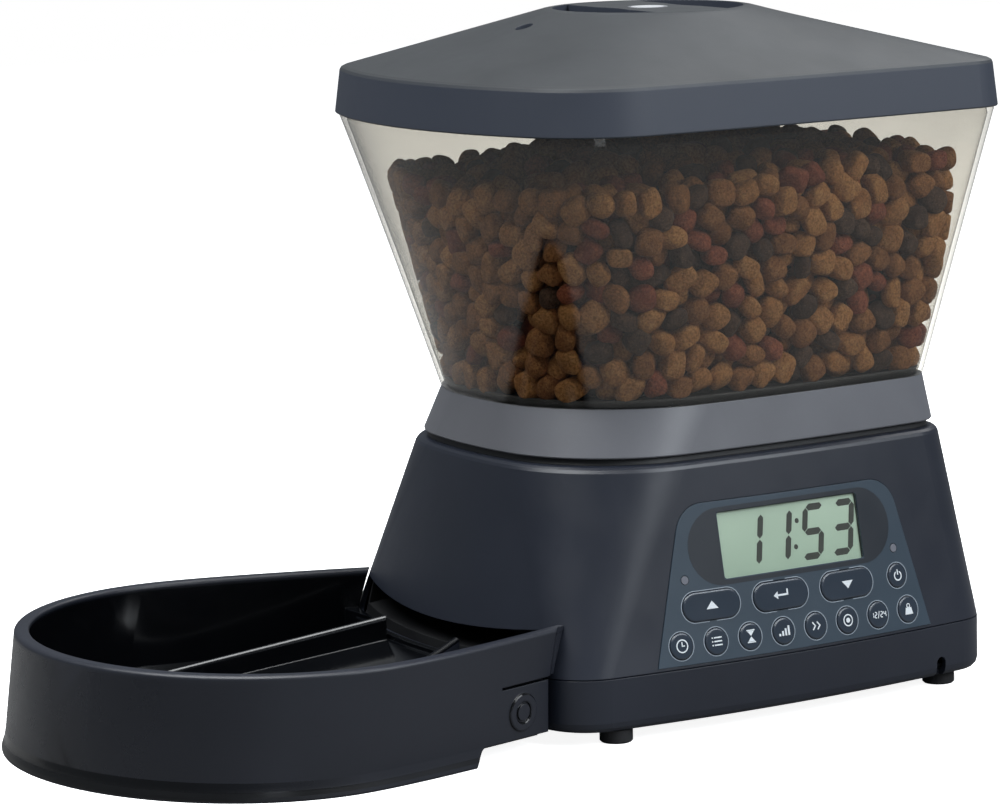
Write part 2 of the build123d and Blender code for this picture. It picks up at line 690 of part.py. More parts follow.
def lid_knob():
    radius, plate_top_z = recess_radius - 0.6, recess_floor_z + 2.4
    disc = rod_z(radius, (recess_floor_z + 0.4, knob_top_z), 0, knob_y)
    bar = disc & block((-60, 60), (knob_y - 20, knob_y + 20), (recess_floor_z, overall_height))
    for side in (-1, 1):
        bar -= rod_z(60.0, (plate_top_z, overall_height + 1), 0, knob_y + side * 78.0)
    bar += rod_z(radius, (recess_floor_z + 0.4, plate_top_z), 0, knob_y)
    bar -= rod_z(badge_radius + 0.2, (knob_top_z - badge_sink, knob_top_z + 1), 0, knob_y)
    bar += rod_z(6.0, (recess_floor_z - 6.4, recess_floor_z + 1), 0, knob_y)
    return bar - rod_z(knob_screw_radius, (recess_floor_z - 7, recess_floor_z + 8), 0, knob_y)


def lid_badge():
    badge = rod_z(badge_radius, (knob_top_z - badge_sink, knob_top_z + 0.1), 0, knob_y)
    return fillet(badge.edges().group_by(Axis.Z)[-1], 0.2)


def lid_lock_plate():
    z = (recess_floor_z - 9.0, recess_floor_z - 6.4)
    plate = Pos(0, knob_y, z[0]) * extrude(SlotOverall(120.0, 18.0), z[1] - z[0])
    plate += rod_z(14.0, z, 0, knob_y)
    return plate - rod_z(knob_screw_radius, (z[0] - 1, z[1] + 1), 0, knob_y)


def lid_screw():
    head_z = recess_floor_z - 9.0
    screw = rod_z(knob_screw_radius, (head_z, recess_floor_z + 7), 0, knob_y)
    screw += rod_z(3.6, (head_z - 2.2, head_z), 0, knob_y)
    return screw - cross_slot(0, knob_y, head_z - 2.2, 4.4)


# ---------------------------------------------------------------- bowl

def bowl_outline(z, inset=0.0, back_y=bowl_turn_y):
    """The bowl's plan at height z; its sides run on straight from bowl_turn_y to back_y."""
    shape = between(BOWL_BOTTOM, BOWL_TOP, z / bowl_rim_z)
    back_half, full = shape["back_half"] - inset, shape["full_half"] - inset
    side_y, front_y = shape["side_y"], shape["front_y"] + inset
    bend_y = side_y + 28.0
    lean = (back_half - full) / (bowl_turn_y - bend_y)
    end_half = back_half + lean * (back_y - bowl_turn_y)
    curves = [
        Line((-end_half, back_y), (end_half, back_y)),
        EllipticalCenterArc((0, side_y), full, side_y - front_y, 180, arc_size=180),
    ]
    for side in (1, -1):
        curves.append(Bezier((side * back_half, bowl_turn_y), (side * full, bend_y), (side * full, side_y)))
        if back_y > bowl_turn_y:
            curves.append(Line((side * end_half, back_y), (side * back_half, bowl_turn_y)))
    return Pos(0, 0, z) * make_face(curves)


def bowl_stack(levels, back_y=6.0):
    """A solid through (z, inset) levels of the bowl's plan."""
    return loft([bowl_outline(z, inset, back_y) for z, inset in levels], ruled=True)


def body_grown(gap, low_z=-5.0, high_z=60.0):
    """The base and the housing together, grown by gap, that the bowl is cut to fit."""
    base = prism(SEAM, [(low_z, -gap), (seam_z + gap, -gap)])
    return base + stack([(seam_z, -gap), (high_z, -gap)], body_at)


def arm_end_cut(side):
    """What is taken off behind one arm: square below the slit, and a slanted strip of skin above it."""
    outer, inner, low = [Vector(side * x, y, z) for x, y, z in ARM_END]
    along = inner - outer
    normal = along.cross(low - outer)
    if normal.Y < 0:
        normal = -normal
    slant = Plane(origin=outer, x_dir=along, z_dir=normal) * Box(90.0, 120.0, 40.0, align=UP)
    slant &= block(sided(side, 60.0, 130.0), (-40.0, 30.0), (slit_z[0], bowl_rim_z + 1))
    slant -= bowl_stack([(20.0, arm_cut_depth), (bowl_rim_z + 1, arm_cut_depth)])
    square = block(sided(side, 0.0, 130.0), (arm_low_end_y, 30.0), (-1.0, slit_z[0] + 0.1))
    return slant + square


def step_cut():
    """The step under both arms, with a leaning front and a rounded inner corner."""
    front = make_face(Polyline((-69.6, -1.0), (-65.0, arm_bottom_z), (10, arm_bottom_z), (10, -1.0),
                               close=True))
    top_front = front.vertices().group_by(Axis.Y)[-1].sort_by(Axis.X)[0]
    return across_x(fillet(top_front, 4.0), -130.0, 130.0)


def ridge_section(height):
    """An upright rounded rib: x across it, y up."""
    half = ridge_half_width
    return make_face([
        Line((-half - 1.0, 5.0), (-half, height - half)),
        ThreePointArc((-half, height - half), (0, height), (half, height - half)),
        Line((half, height - half), (half + 1.0, 5.0)),
        Line((half + 1.0, 5.0), (-half - 1.0, 5.0)),
    ])


def bowl_ramp():
    """The ramp that falls from the mouth into the basin, between two spreading ridges."""
    profile = make_face(Polyline((-20, ramp_top_z), (-36, ramp_top_z), (-150, basin_floor_z + 0.2),
                                 (-150, 4.5), (-20, 4.5), close=True))
    plan = make_face(Polyline((-36, -20), (-36, -40), (-84, -150),
                              (84, -150), (36, -40), (36, -20), close=True))
    ramp = across_x(profile, -95.0, 95.0) & extrude(plan, 60.0)
    near, far = RIDGE_ENDS
    run_x, run_y = far[0] - near[0], far[1] - near[1]
    for side in (-1, 1):
        sections = []
        for x, y, height in RIDGE_ENDS:
            across, along = (-run_y, side * run_x, 0), (side * run_x, run_y, 0)
            section_plane = Plane(origin=(side * x, y, 0), x_dir=across, z_dir=along)
            sections.append(section_plane * ridge_section(height))
        ramp += loft(sections, ruled=True)
    return ramp & bowl_stack([(4.5, basin_inset + 1), (bowl_rim_z - 1.6, basin_inset + 1)])


def food_bowl():
    rim = rounding(bowl_rim_z, bowl_rim_z - 1.8, 2.4, 4)[::-1]
    foot = [(0.0, 0.3 - bowl_flare), (0.8, -bowl_flare), (2.5, -1.0), (5.0, -0.4), (9.0, 0.0)]
    outer = bowl_stack(foot + rim)
    under = [(-1.0, bowl_skin - bowl_flare), (9.0, bowl_skin), (bowl_rim_z - 3.0, bowl_skin)]
    basin = bowl_stack([(basin_floor_z - 2.6, basin_inset + 5.0), (basin_floor_z + 4.0, basin_inset),
                        (bowl_rim_z - 2.0, basin_inset)])
    face_inset = basin_inset + basin_wall
    levels = rounding(basin_floor_z, basin_floor_z + 9.0, 9.0, 4)
    levels += rounding(bowl_rim_z, bowl_rim_z - 1.8, -1.8, 3)[::-1]
    levels = [(z, inset + face_inset) for z, inset in levels] + [(bowl_rim_z + 1.0, basin_inset)]
    corner_wall = block((-130, 130), (arm_low_end_y - basin_wall, 30), (0, slit_z[1] + basin_wall))
    hollow = bowl_stack(levels, 12.0) - body_grown(bowl_gap + 2.6, high_z=seam_z + 2.0) - corner_wall
    bowl = outer - bowl_stack(under, 12.0) + basin - hollow + bowl_ramp()
    bowl -= body_grown(bowl_gap)
    bowl -= step_cut() - basin
    for side in (-1, 1):
        bowl -= arm_end_cut(side)
        slit = block(sided(side, 90.0, 120.0), (slit_front_y, 0.0), slit_z)
        bowl -= slit - bowl_stack([(20.0, basin_inset - 0.4), (50.0, basin_inset - 0.4)])
        bowl += snap_boss(side)
    return bowl


def snap_boss(side):
    """The round snap button on each arm: a soft ring, a centre stub and an inner stud."""
    wall = bowl_stack([(9.0, 0.0), (bowl_rim_z - 5, 0.0)])
    point, normal = wall.find_intersection_points(Axis((side * 200, snap_y, snap_z), (-side, 0, 0)))[0]
    if normal.X * side < 0:
        normal = -normal
    ring = Cylinder(snap_ring_radius, 2.4) - Cylinder(snap_groove_radius, 4.0)
    ring = fillet(ring.edges().group_by(Axis.Z)[-1], 1.1)
    stub = Pos(0, 0, -0.2) * Cylinder(snap_stub_radius, 2.4)
    stud = Pos(0, 0, -bowl_skin - 0.6) * Cylinder(2.4, 2.4)
    return Plane(origin=point, z_dir=normal) * (ring + stub + stud)


# ---------------------------------------------------------------- control panel

def control_panel():
    plate = (housing_solid(panel_proud) - housing_solid(-panel_recess)) & across_x(panel_face(), 80.0)
    for hole in button_holes():
        plate -= hole
    return plate - lcd_window(0.0)


def lcd_lens():
    layer = housing_solid(0.1) - housing_solid(-1.2)
    return layer & lcd_window(-0.25, 12.0)


def lcd_module():
    flat = Plane(origin=LCD_PLANE.origin, x_dir=PANEL_PLANE.x_dir, z_dir=PANEL_PLANE.z_dir)
    back = (LCD_PLANE.origin - BOARD_PLANE.origin).dot(PANEL_PLANE.z_dir) - 0.02
    front = 4.4
    return flat * Pos(0, 0, -(back + front) / 2) * Box(lcd_width + 6, lcd_height + 5, back - front)


def board_clear(plane, height):
    """Distance from a wall plane's origin, along its axis, to a level above the board."""
    gap = (plane.origin - BOARD_PLANE.origin).dot(PANEL_PLANE.z_dir) - height
    return gap / plane.z_dir.dot(PANEL_PLANE.z_dir)


def board_corners():
    """The places of the four board screws, in the board's plane."""
    reach = [size / 2 - board_screw_inset for size in board_size]
    return [(board_middle[0] + i * reach[0], board_middle[1] + j * reach[1])
            for i in (-1, 1) for j in (-1, 1)]


def control_board():
    board = BOARD_PLANE * Pos(*board_middle, -board_thickness / 2) * Box(*board_size, board_thickness)
    for x, y in board_corners():
        board -= BOARD_PLANE * Pos(x, y, 0) * Cylinder(1.6, 6.0)
    return board


def tact_switches():
    switches = []
    for plane in BUTTON_PLANES.values():
        spot = plane.origin - plane.z_dir * board_clear(plane, 0.0)
        seat = Plane(origin=spot, x_dir=PANEL_PLANE.x_dir, z_dir=PANEL_PLANE.z_dir)
        body = seat * Pos(0, 0, 1.3) * Box(6.0, 6.0, 2.5)
        body += seat * Pos(0, 0, 3.0) * Cylinder(1.7, 1.0)
        switches.append(body)
    return Compound(children=switches)


def led_lenses():
    lenses = []
    for plane in LED_PLANES:
        length = board_clear(plane, 0.3) + 0.5
        lenses.append(plane * Pos(0, 0, 0.5 - length / 2) * Cylinder(led_radius, length))
    return Compound(children=lenses)


def button(name):
    """A push key: a cap with a soft edge, a flange that holds it in and a stem to its switch."""
    kind = BUTTONS[name][0]
    plane = BUTTON_PLANES[name]
    cap_bottom = -plastic_wall - 0.6
    cap = extrude(Pos(0, 0, cap_bottom) * button_shape(kind), button_proud - cap_bottom)
    cap = fillet(cap.edges().group_by(Axis.Z)[-1], 0.8)
    flange = extrude(Pos(0, 0, cap_bottom - 0.9) * button_shape(kind, button_flange), 0.9)
    stem_end = -(board_clear(plane, switch_height) - button_travel - 0.15)
    stem = Pos(0, 0, stem_end) * Cylinder(1.8, cap_bottom - stem_end, align=UP)
    return plane * (cap + flange + stem)


def board_screws():
    screws = []
    for x, y in board_corners():
        screw = Cylinder(3.0, 1.6) + Pos(0, 0, 3.6) * Cylinder(1.3, 5.8)
        screws.append(BOARD_PLANE * Pos(x, y, -board_thickness - 0.9) * screw)
    return Compound(children=screws)


# ---------------------------------------------------------------- write every node

NODES = {
    "base_tray": base_tray, "rubber_feet": rubber_feet, "base_screws": base_screws,
    "battery_door": battery_door, "battery_box": battery_box, "battery_cells": battery_cells,
    "battery_contacts": battery_contacts, "main_housing": main_housing, "collar_neck": collar_neck,
    "collar_band": collar_band, "hopper": hopper, "hopper_funnel": hopper_funnel,
    "auger_trough": auger_trough, "auger_bush": auger_bush, "auger_screw": auger_screw,
    "auger_gear": auger_gear, "compound_gear": compound_gear, "compound_axle": compound_axle,
    "motor": motor, "motor_pinion": motor_pinion, "gearbox_plate": gearbox_plate,
    "gearbox_cover": gearbox_cover, "gearbox_screws": gearbox_screws, "outlet_chute": outlet_chute,
    "lid": lid, "lid_seal": lid_seal, "lid_knob": lid_knob, "lid_badge": lid_badge,
    "lid_lock_plate": lid_lock_plate, "lid_screw": lid_screw, "food_bowl": food_bowl,
    "control_panel": control_panel, "lcd_lens": lcd_lens, "lcd_module": lcd_module,
    "led_lenses": led_lenses, "control_board": control_board, "tact_switches": tact_switches,
    "board_screws": board_screws,
}

for node, build in NODES.items():
    save(build(), node)
for node in BUTTONS:
    save(button(node), node)
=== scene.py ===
import json
import math

import bpy
import numpy as np
from mathutils import Matrix, Vector
from mathutils.bvhtree import BVHTree


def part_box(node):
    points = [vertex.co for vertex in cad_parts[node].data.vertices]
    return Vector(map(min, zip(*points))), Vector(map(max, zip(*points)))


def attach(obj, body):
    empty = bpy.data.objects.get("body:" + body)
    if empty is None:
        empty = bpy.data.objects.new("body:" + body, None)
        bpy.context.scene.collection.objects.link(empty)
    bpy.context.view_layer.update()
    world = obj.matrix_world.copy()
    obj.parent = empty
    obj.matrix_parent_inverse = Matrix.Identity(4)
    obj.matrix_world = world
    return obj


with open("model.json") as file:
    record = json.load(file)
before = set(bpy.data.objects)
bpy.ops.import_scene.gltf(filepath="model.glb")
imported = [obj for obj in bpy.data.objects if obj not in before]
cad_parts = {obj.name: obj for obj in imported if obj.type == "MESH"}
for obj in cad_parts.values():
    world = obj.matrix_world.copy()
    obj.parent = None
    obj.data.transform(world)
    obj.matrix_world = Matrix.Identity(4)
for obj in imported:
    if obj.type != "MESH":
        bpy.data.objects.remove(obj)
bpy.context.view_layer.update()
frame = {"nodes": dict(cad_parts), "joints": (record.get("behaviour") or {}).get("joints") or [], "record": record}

# The looks of an automatic dry-food feeder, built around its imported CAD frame.
# The bowl points to -Y and the control panel faces +X. Lengths are metres; MM turns millimetres into them.

MM = 0.001
FLOOR_GLOW = 0.90              # even white added to the floor where the camera sees it
FLOOR_REFLECTED = 0.18         # how pale the floor is to everything but the camera
nodes = frame["nodes"]
joints = frame["joints"]


# ---------------------------------------------------------------- node graphs

def srgb(red, green, blue):
    """An sRGB colour in 0..255 as the linear colour that shaders take."""
    def linear(value):
        value = value / 255
        return value / 12.92 if value <= 0.04045 else ((value + 0.055) / 1.055) ** 2.4
    return (linear(red), linear(green), linear(blue), 1.0)


def scaled(colour, factor):
    return tuple(min(1.0, channel * factor) for channel in colour[:3]) + (1.0,)


class Graph:
    """A node material, built with short calls. Pattern coordinates are the frame's own metres."""

    def __init__(self, name):
        self.material = bpy.data.materials.new(name)
        self.material.use_nodes = True
        self.tree = self.material.node_tree
        self.tree.nodes.clear()
        self.output = self.node("ShaderNodeOutputMaterial")
        self.place = self.node("ShaderNodeTexCoord").outputs["Object"]
        self.geometry = self.node("ShaderNodeNewGeometry")

    def node(self, kind, inputs=None, **settings):
        made = self.tree.nodes.new(kind)
        for key, value in settings.items():
            setattr(made, key, value)
        for key, value in (inputs or {}).items():
            self.feed(made.inputs[key], value)
        return made

    def feed(self, socket, value):
        if isinstance(value, bpy.types.NodeSocket):
            self.tree.links.new(value, socket)
        else:
            socket.default_value = value

    def math(self, operation, first, second=0.0, clamp=False):
        made = self.node("ShaderNodeMath", {0: first, 1: second}, operation=operation, use_clamp=clamp)
        return made.outputs[0]

    def noise(self, scale, detail=2.0, roughness=0.5, coordinates=None):
        made = self.node("ShaderNodeTexNoise", {
            "Vector": coordinates or self.place, "Scale": scale, "Detail": detail, "Roughness": roughness})
        return made.outputs["Fac"]

    def stretched(self, x, y, z):
        """The pattern coordinates, scaled by x, y and z."""
        return self.node("ShaderNodeMapping", {"Vector": self.place, "Scale": (x, y, z)}).outputs["Vector"]

    def cells(self, scale):
        """Distance to the nearest of many scattered points."""
        return self.node("ShaderNodeTexVoronoi", {"Vector": self.place, "Scale": scale}).outputs["Distance"]

    def between(self, value, low, high, to_low=0.0, to_high=1.0):
        """Value, carried from the range low..high to to_low..to_high and held inside it."""
        made = self.node("ShaderNodeMapRange", {
            "Value": value, "From Min": low, "From Max": high, "To Min": to_low, "To Max": to_high})
        return made.outputs["Result"]

    def mix(self, factor, first, second, blend="MIX"):
        made = self.node("ShaderNodeMix", data_type="RGBA", blend_type=blend)
        self.feed(made.inputs[0], factor)
        self.feed(made.inputs[6], first)
        self.feed(made.inputs[7], second)
        return made.outputs[2]

    def axis(self, vector, name):
        return self.node("ShaderNodeSeparateXYZ", {0: vector}).outputs[name]

    def bump(self, height, distance, normal=None, strength=1.0):
        made = self.node("ShaderNodeBump", {"Height": height, "Distance": distance, "Strength": strength})
        if normal is not None:
            self.feed(made.inputs["Normal"], normal)
        return made.outputs["Normal"]

    def soft_edges(self, radius):
        """The normal with edges rounded off, and how close a point is to such an edge (0 to 1)."""
        rounded = self.node("ShaderNodeBevel", {"Radius": radius}, samples=4).outputs["Normal"]
        same = self.node("ShaderNodeVectorMath", {0: rounded, 1: self.geometry.outputs["Normal"]},
                         operation="DOT_PRODUCT").outputs["Value"]
        return rounded, self.between(same, 0.995, 0.80)

    def surface(self, **inputs):
        """Ends the material in one Principled shader; names use _ for spaces."""
        named = {key.replace("_", " "): value for key, value in inputs.items()}
        shader = self.node("ShaderNodeBsdfPrincipled", named)
        self.tree.links.new(shader.outputs[0], self.output.inputs["Surface"])
        return self.material


# ---------------------------------------------------------------- materials

def moulded(name, colour, roughness=0.42, grain=0.012, edge=0.5, coat=0.0, wear=1.25, side=None):
    """Injection-moulded plastic: fine etched grain, faint cloudiness, slightly polished edges.

    Where the colour side is given, upright faces take it as painted light, a tint that stands for the sheen on
    them, and the others are more matt.
    """
    g = Graph(name)
    cloud = g.noise(14.0, 3.0)
    dust = g.noise(2600.0, 1.0)
    rounded, rim = g.soft_edges(edge * MM)
    base = g.mix(g.between(cloud, 0.3, 0.7), scaled(colour, 0.90), scaled(colour, 1.10))
    shine = 0.5
    if side is not None:
        tilt = g.math("ABSOLUTE", g.axis(g.geometry.outputs["Normal"], "Z"))
        # Painted light: upright faces take the colour side, a painted sheen by face direction.
        base = g.mix(g.between(tilt, 0.55, 0.25), base, side)
        shine = g.between(tilt, 0.55, 0.25, 0.25, 0.5)
    base = g.mix(g.math("MULTIPLY", g.between(dust, 0.66, 0.80), 0.35), base, scaled(colour, 1.9))
    base = g.mix(g.math("MULTIPLY", rim, 0.5), base, scaled(colour, wear))
    patch = g.noise(45.0, 4.0)
    rough = g.between(patch, 0.3, 0.7, roughness - 0.035, roughness + 0.035)
    rough = g.math("SUBTRACT", rough, g.math("MULTIPLY", rim, 0.06))
    etched = g.math("ADD", g.noise(1500.0, 2.0), g.math("MULTIPLY", g.noise(420.0, 2.0), 0.6))
    normal = g.bump(etched, grain * MM, rounded)
    return g.surface(Base_Color=base, Roughness=rough, Specular_IOR_Level=shine, Normal=normal,
                     Coat_Weight=coat, Coat_Roughness=0.12)


def bowl_plastic():
    """Satin black outside, polished inside the basin, where the colour is also made darker as painted shade."""
    g = Graph("bowl_black")
    low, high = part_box("food_bowl")
    centre = (0.0, (low.y + high.y) / 2 + 0.010, 0.0)
    position = g.geometry.outputs["Position"]
    normal = g.geometry.outputs["Normal"]
    outwards = g.node("ShaderNodeVectorMath", {0: g.place, 1: centre}, operation="SUBTRACT").outputs[0]
    flat = g.node("ShaderNodeVectorMath", {0: outwards, 1: (1.0, 1.0, 0.0)}, operation="MULTIPLY").outputs[0]
    unit = g.node("ShaderNodeVectorMath", {0: flat}, operation="NORMALIZE").outputs[0]
    facing = g.node("ShaderNodeVectorMath", {0: unit, 1: normal}, operation="DOT_PRODUCT").outputs["Value"]
    below_rim = g.between(g.axis(position, "Z"), high.z - 1.5 * MM, high.z - 3.5 * MM)
    inward = g.between(facing, 0.30, 0.10)
    upward = g.between(g.axis(normal, "Z"), 0.05, 0.2)
    gloss = g.math("MULTIPLY", g.math("MAXIMUM", inward, upward), below_rim)
    rounded, rim = g.soft_edges(0.8 * MM)
    cloud = g.noise(11.0, 3.0)
    satin = g.mix(g.between(cloud, 0.3, 0.7), srgb(26, 29, 37), srgb(31, 34, 43))
    # The polished inside colour is partly real black and partly painted shade: the basin and mouth that light
    # hardly reaches.
    polished = g.mix(g.between(cloud, 0.3, 0.7), srgb(5, 6, 8), srgb(9, 10, 13))
    base = g.mix(gloss, satin, polished)
    base = g.mix(g.math("MULTIPLY", rim, 0.3), base, srgb(44, 47, 52))
    smear = g.noise(38.0, 4.0, 0.6)
    rough_satin = g.between(smear, 0.3, 0.7, 0.37, 0.43)
    rough_gloss = g.between(smear, 0.3, 0.7, 0.09, 0.16)
    rough = g.math("ADD", g.math("MULTIPLY", rough_satin, g.math("SUBTRACT", 1.0, gloss)),
                   g.math("MULTIPLY", rough_gloss, gloss))
    rough = g.math("ADD", rough, g.between(g.axis(position, "Z"), 7.0 * MM, 4.0 * MM, 0.0, 0.2))
    grain = g.math("MULTIPLY", g.noise(1500.0, 2.0), g.math("SUBTRACT", 1.0, gloss))
    waves = g.math("MULTIPLY", g.math("MULTIPLY", g.noise(22.0, 1.0), gloss), 6.0)
    bumped = g.bump(g.math("ADD", grain, waves), 0.010 * MM, rounded)
    return g.surface(Base_Color=base, Roughness=rough, Normal=bumped)


def clear_wall(name, tint, haze, gloss_roughness=0.03):
    """A thin clear wall that lets light through with a tint and mirrors more at grazing angles."""
    g = Graph(name)
    facing = g.node("ShaderNodeLayerWeight", {"Blend": 0.5}).outputs["Facing"]
    grazing = g.math("POWER", facing, 5.0)
    mirror = g.math("ADD", 0.04, g.math("MULTIPLY", grazing, 0.92))
    smear = g.noise(60.0, 4.0, 0.6)
    rough = g.between(smear, 0.35, 0.75, gloss_roughness, gloss_roughness + 0.05)
    ripple = g.bump(g.noise(18.0, 1.0), 0.06 * MM)
    cloud = g.between(g.noise(16.0, 3.0), 0.3, 0.7, 0.96, 1.0)
    tinted = g.mix(1.0, tint, g.node("ShaderNodeCombineColor", {0: cloud, 1: cloud, 2: cloud}).outputs[0],
                   "MULTIPLY")
    through = g.node("ShaderNodeBsdfTransparent", {"Color": tinted})
    glossy = g.node("ShaderNodeBsdfGlossy", {"Color": (1, 1, 1, 1), "Roughness": rough, "Normal": ripple})
    dull = g.node("ShaderNodeBsdfDiffuse", {"Color": (0.5, 0.5, 0.48, 1.0)})
    scuffs = g.between(g.noise(1.0, 5.0, 0.65, g.stretched(40.0, 40.0, 260.0)), 0.60, 0.85, haze, haze * 2.5)
    hazy = g.node("ShaderNodeMixShader", {0: scuffs, 1: through.outputs[0], 2: dull.outputs[0]})
    whole = g.node("ShaderNodeMixShader", {0: mirror, 1: hazy.outputs[0], 2: glossy.outputs[0]})
    g.tree.links.new(whole.outputs[0], g.output.inputs["Surface"])
    return g.material


def metal(name, colour, roughness=0.28, along=(1.0, 1.0, 30.0), edge=0.2):
    """Plated or turned metal with fine lines across it and small spots of tarnish."""
    g = Graph(name)
    lines = g.noise(90.0, 3.0, 0.6, g.stretched(*along))
    spots = g.noise(160.0, 4.0, 0.7)
    rounded, rim = g.soft_edges(edge * MM)
    base = g.mix(g.between(spots, 0.45, 0.75), colour, scaled(colour, 0.62))
    base = g.mix(g.math("MULTIPLY", rim, 0.5), base, scaled(colour, 1.25))
    rough = g.between(lines, 0.3, 0.7, roughness - 0.08, roughness + 0.10)
    normal = g.bump(lines, 0.01 * MM, rounded)
    return g.surface(Base_Color=base, Metallic=1.0, Roughness=rough, Normal=normal)


def rubber(name, colour):
    """Matt rubber with a dusty bloom and a coarse, slightly uneven skin."""
    g = Graph(name)
    bloom = g.noise(120.0, 5.0, 0.65)
    skin = g.noise(900.0, 3.0)
    rounded, rim = g.soft_edges(0.6 * MM)
    base = g.mix(g.between(bloom, 0.35, 0.8), colour, scaled(colour, 1.9))
    base = g.mix(g.math("MULTIPLY", rim, 0.4), base, scaled(colour, 2.2))
    rough = g.between(bloom, 0.3, 0.7, 0.66, 0.82)
    return g.surface(Base_Color=base, Roughness=rough, Normal=g.bump(skin, 0.03 * MM, rounded))


def cell_wrap():
    """Shrink wrap on a battery: a dark sleeve, a copper-coloured end and a nickel cap."""
    g = Graph("cell_wrap")
    low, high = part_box("battery_cells")
    half = (high.x - low.x) / 2
    along = g.node("ShaderNodeMath", {0: g.axis(g.place, "X"), 1: half}, operation="MODULO").outputs[0]
    share = g.math("DIVIDE", g.math("ABSOLUTE", along), half)
    sleeve = g.mix(g.between(g.noise(20.0, 3.0), 0.3, 0.7), srgb(34, 38, 48), srgb(42, 46, 58))
    base = g.mix(g.between(share, 0.70, 0.705), sleeve, srgb(176, 116, 62))
    end_face = g.between(g.math("ABSOLUTE", g.axis(g.geometry.outputs["Normal"], "X")), 0.7, 0.75)
    base = g.mix(end_face, base, srgb(190, 190, 188))
    crinkle = g.noise(220.0, 4.0, 0.6)
    return g.surface(Base_Color=base, Metallic=g.math("MULTIPLY", end_face, 0.9),
                     Roughness=g.between(crinkle, 0.3, 0.7, 0.24, 0.36), Normal=g.bump(crinkle, 0.05 * MM))


def circuit_board():
    """Green solder mask over copper tracks that run along Y, with small pads."""
    g = Graph("board_green")
    tracks = g.node("ShaderNodeTexBrick", {
        "Vector": g.node("ShaderNodeMapping", {"Vector": g.place, "Rotation": (0, math.pi / 2, math.pi / 2)}
                         ).outputs[0],
        "Scale": 120.0, "Mortar Size": 0.03, "Color1": (0, 0, 0, 1), "Color2": (0, 0, 0, 1),
        "Mortar": (1, 1, 1, 1)}).outputs["Color"]
    pads = g.between(g.cells(300.0), 0.16, 0.12)
    cloud = g.noise(30.0, 3.0)
    base = g.mix(g.between(cloud, 0.3, 0.7), srgb(14, 72, 40), srgb(20, 86, 48))
    base = g.mix(tracks, base, srgb(44, 124, 70))
    base = g.mix(g.math("MULTIPLY", pads, 0.6), base, srgb(190, 186, 160))
    lift = g.math("ADD", g.axis(tracks, "X"), pads)
    return g.surface(Base_Color=base, Roughness=g.between(cloud, 0.3, 0.7, 0.28, 0.4),
                     Normal=g.bump(lift, 0.03 * MM))


def display_glass():
    """The pale green reflector of a liquid-crystal display, lighter towards the top and darker towards the bottom
    as painted light.
    """
    g = Graph("display_green")
    low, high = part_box("lcd_lens")
    height = g.between(g.axis(g.place, "Z"), low.z, high.z)
    # Painted light: the face grows lighter with height.
    base = g.mix(height, srgb(172, 193, 172), srgb(192, 211, 190))
    grain = g.noise(2400.0, 2.0)
    base = g.mix(g.between(grain, 0.3, 0.7, 0.0, 0.12), base, srgb(150, 172, 150))
    return g.surface(Base_Color=base, Roughness=g.between(grain, 0.3, 0.7, 0.45, 0.6),
                     Normal=g.bump(grain, 0.004 * MM))


def ink(name, colour, roughness=0.5):
    """Screen-printed ink with small gaps in its cover."""
    g = Graph(name)
    speck = g.noise(1900.0, 3.0, 0.6)
    base = g.mix(g.between(speck, 0.35, 0.7), colour, scaled(colour, 0.82))
    rough = g.between(speck, 0.3, 0.7, roughness - 0.06, roughness + 0.06)
    return g.surface(Base_Color=base, Roughness=rough, Normal=g.bump(speck, 0.01 * MM))


def badge():
    """A plain satin disc with turned rings and no mark on it."""
    g = Graph("badge_silver")
    low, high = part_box("lid_badge")
    centre = ((low.x + high.x) / 2, (low.y + high.y) / 2, 0.0)
    offset = g.node("ShaderNodeVectorMath", {0: g.place, 1: centre}, operation="SUBTRACT").outputs[0]
    flat = g.node("ShaderNodeVectorMath", {0: offset, 1: (1.0, 1.0, 0.0)}, operation="MULTIPLY").outputs[0]
    radius = g.node("ShaderNodeVectorMath", {0: flat}, operation="LENGTH").outputs["Value"]
    rings = g.math("SINE", g.math("MULTIPLY", radius, 2 * math.pi / (0.5 * MM)))
    border = g.between(radius, 8.2 * MM, 8.4 * MM)
    base = g.mix(border, srgb(196, 198, 200), srgb(120, 122, 126))
    base = g.mix(g.between(g.noise(200.0, 3.0), 0.4, 0.8, 0.0, 0.4), base, srgb(150, 152, 156))
    return g.surface(Base_Color=base, Metallic=0.35, Roughness=g.between(rings, -1, 1, 0.34, 0.42),
                     Normal=g.bump(rings, 0.01 * MM))


def kibble_skin(name, dark, light, crust):
    """Baked dough: each piece its own shade, a gritty crust, pores and a few pale grains."""
    g = Graph(name)
    own = g.geometry.outputs["Random Per Island"]
    grit = g.noise(850.0, 5.0, 0.7)
    blotch = g.noise(170.0, 3.0, 0.6)
    pores = g.between(g.cells(620.0), 0.28, 0.05)
    grains = g.between(g.cells(900.0), 0.13, 0.06)
    base = g.mix(own, dark, light)
    base = g.mix(g.between(blotch, 0.38, 0.72, 0.0, 0.75), base, crust)
    base = g.mix(g.between(grit, 0.40, 0.62, 0.0, 0.75), base, scaled(dark, 0.45))
    base = g.mix(g.math("MULTIPLY", pores, 0.60), base, scaled(dark, 0.25))
    base = g.mix(g.math("MULTIPLY", grains, 0.7), base, srgb(214, 172, 118))
    height = g.math("SUBTRACT", g.math("ADD", grit, g.math("MULTIPLY", blotch, 0.8)),
                    g.math("MULTIPLY", pores, 0.5))
    return g.surface(Base_Color=base, Roughness=g.between(grit, 0.3, 0.7, 0.72, 0.92),
                     Specular_IOR_Level=0.3, Normal=g.bump(height, 1.1 * MM))


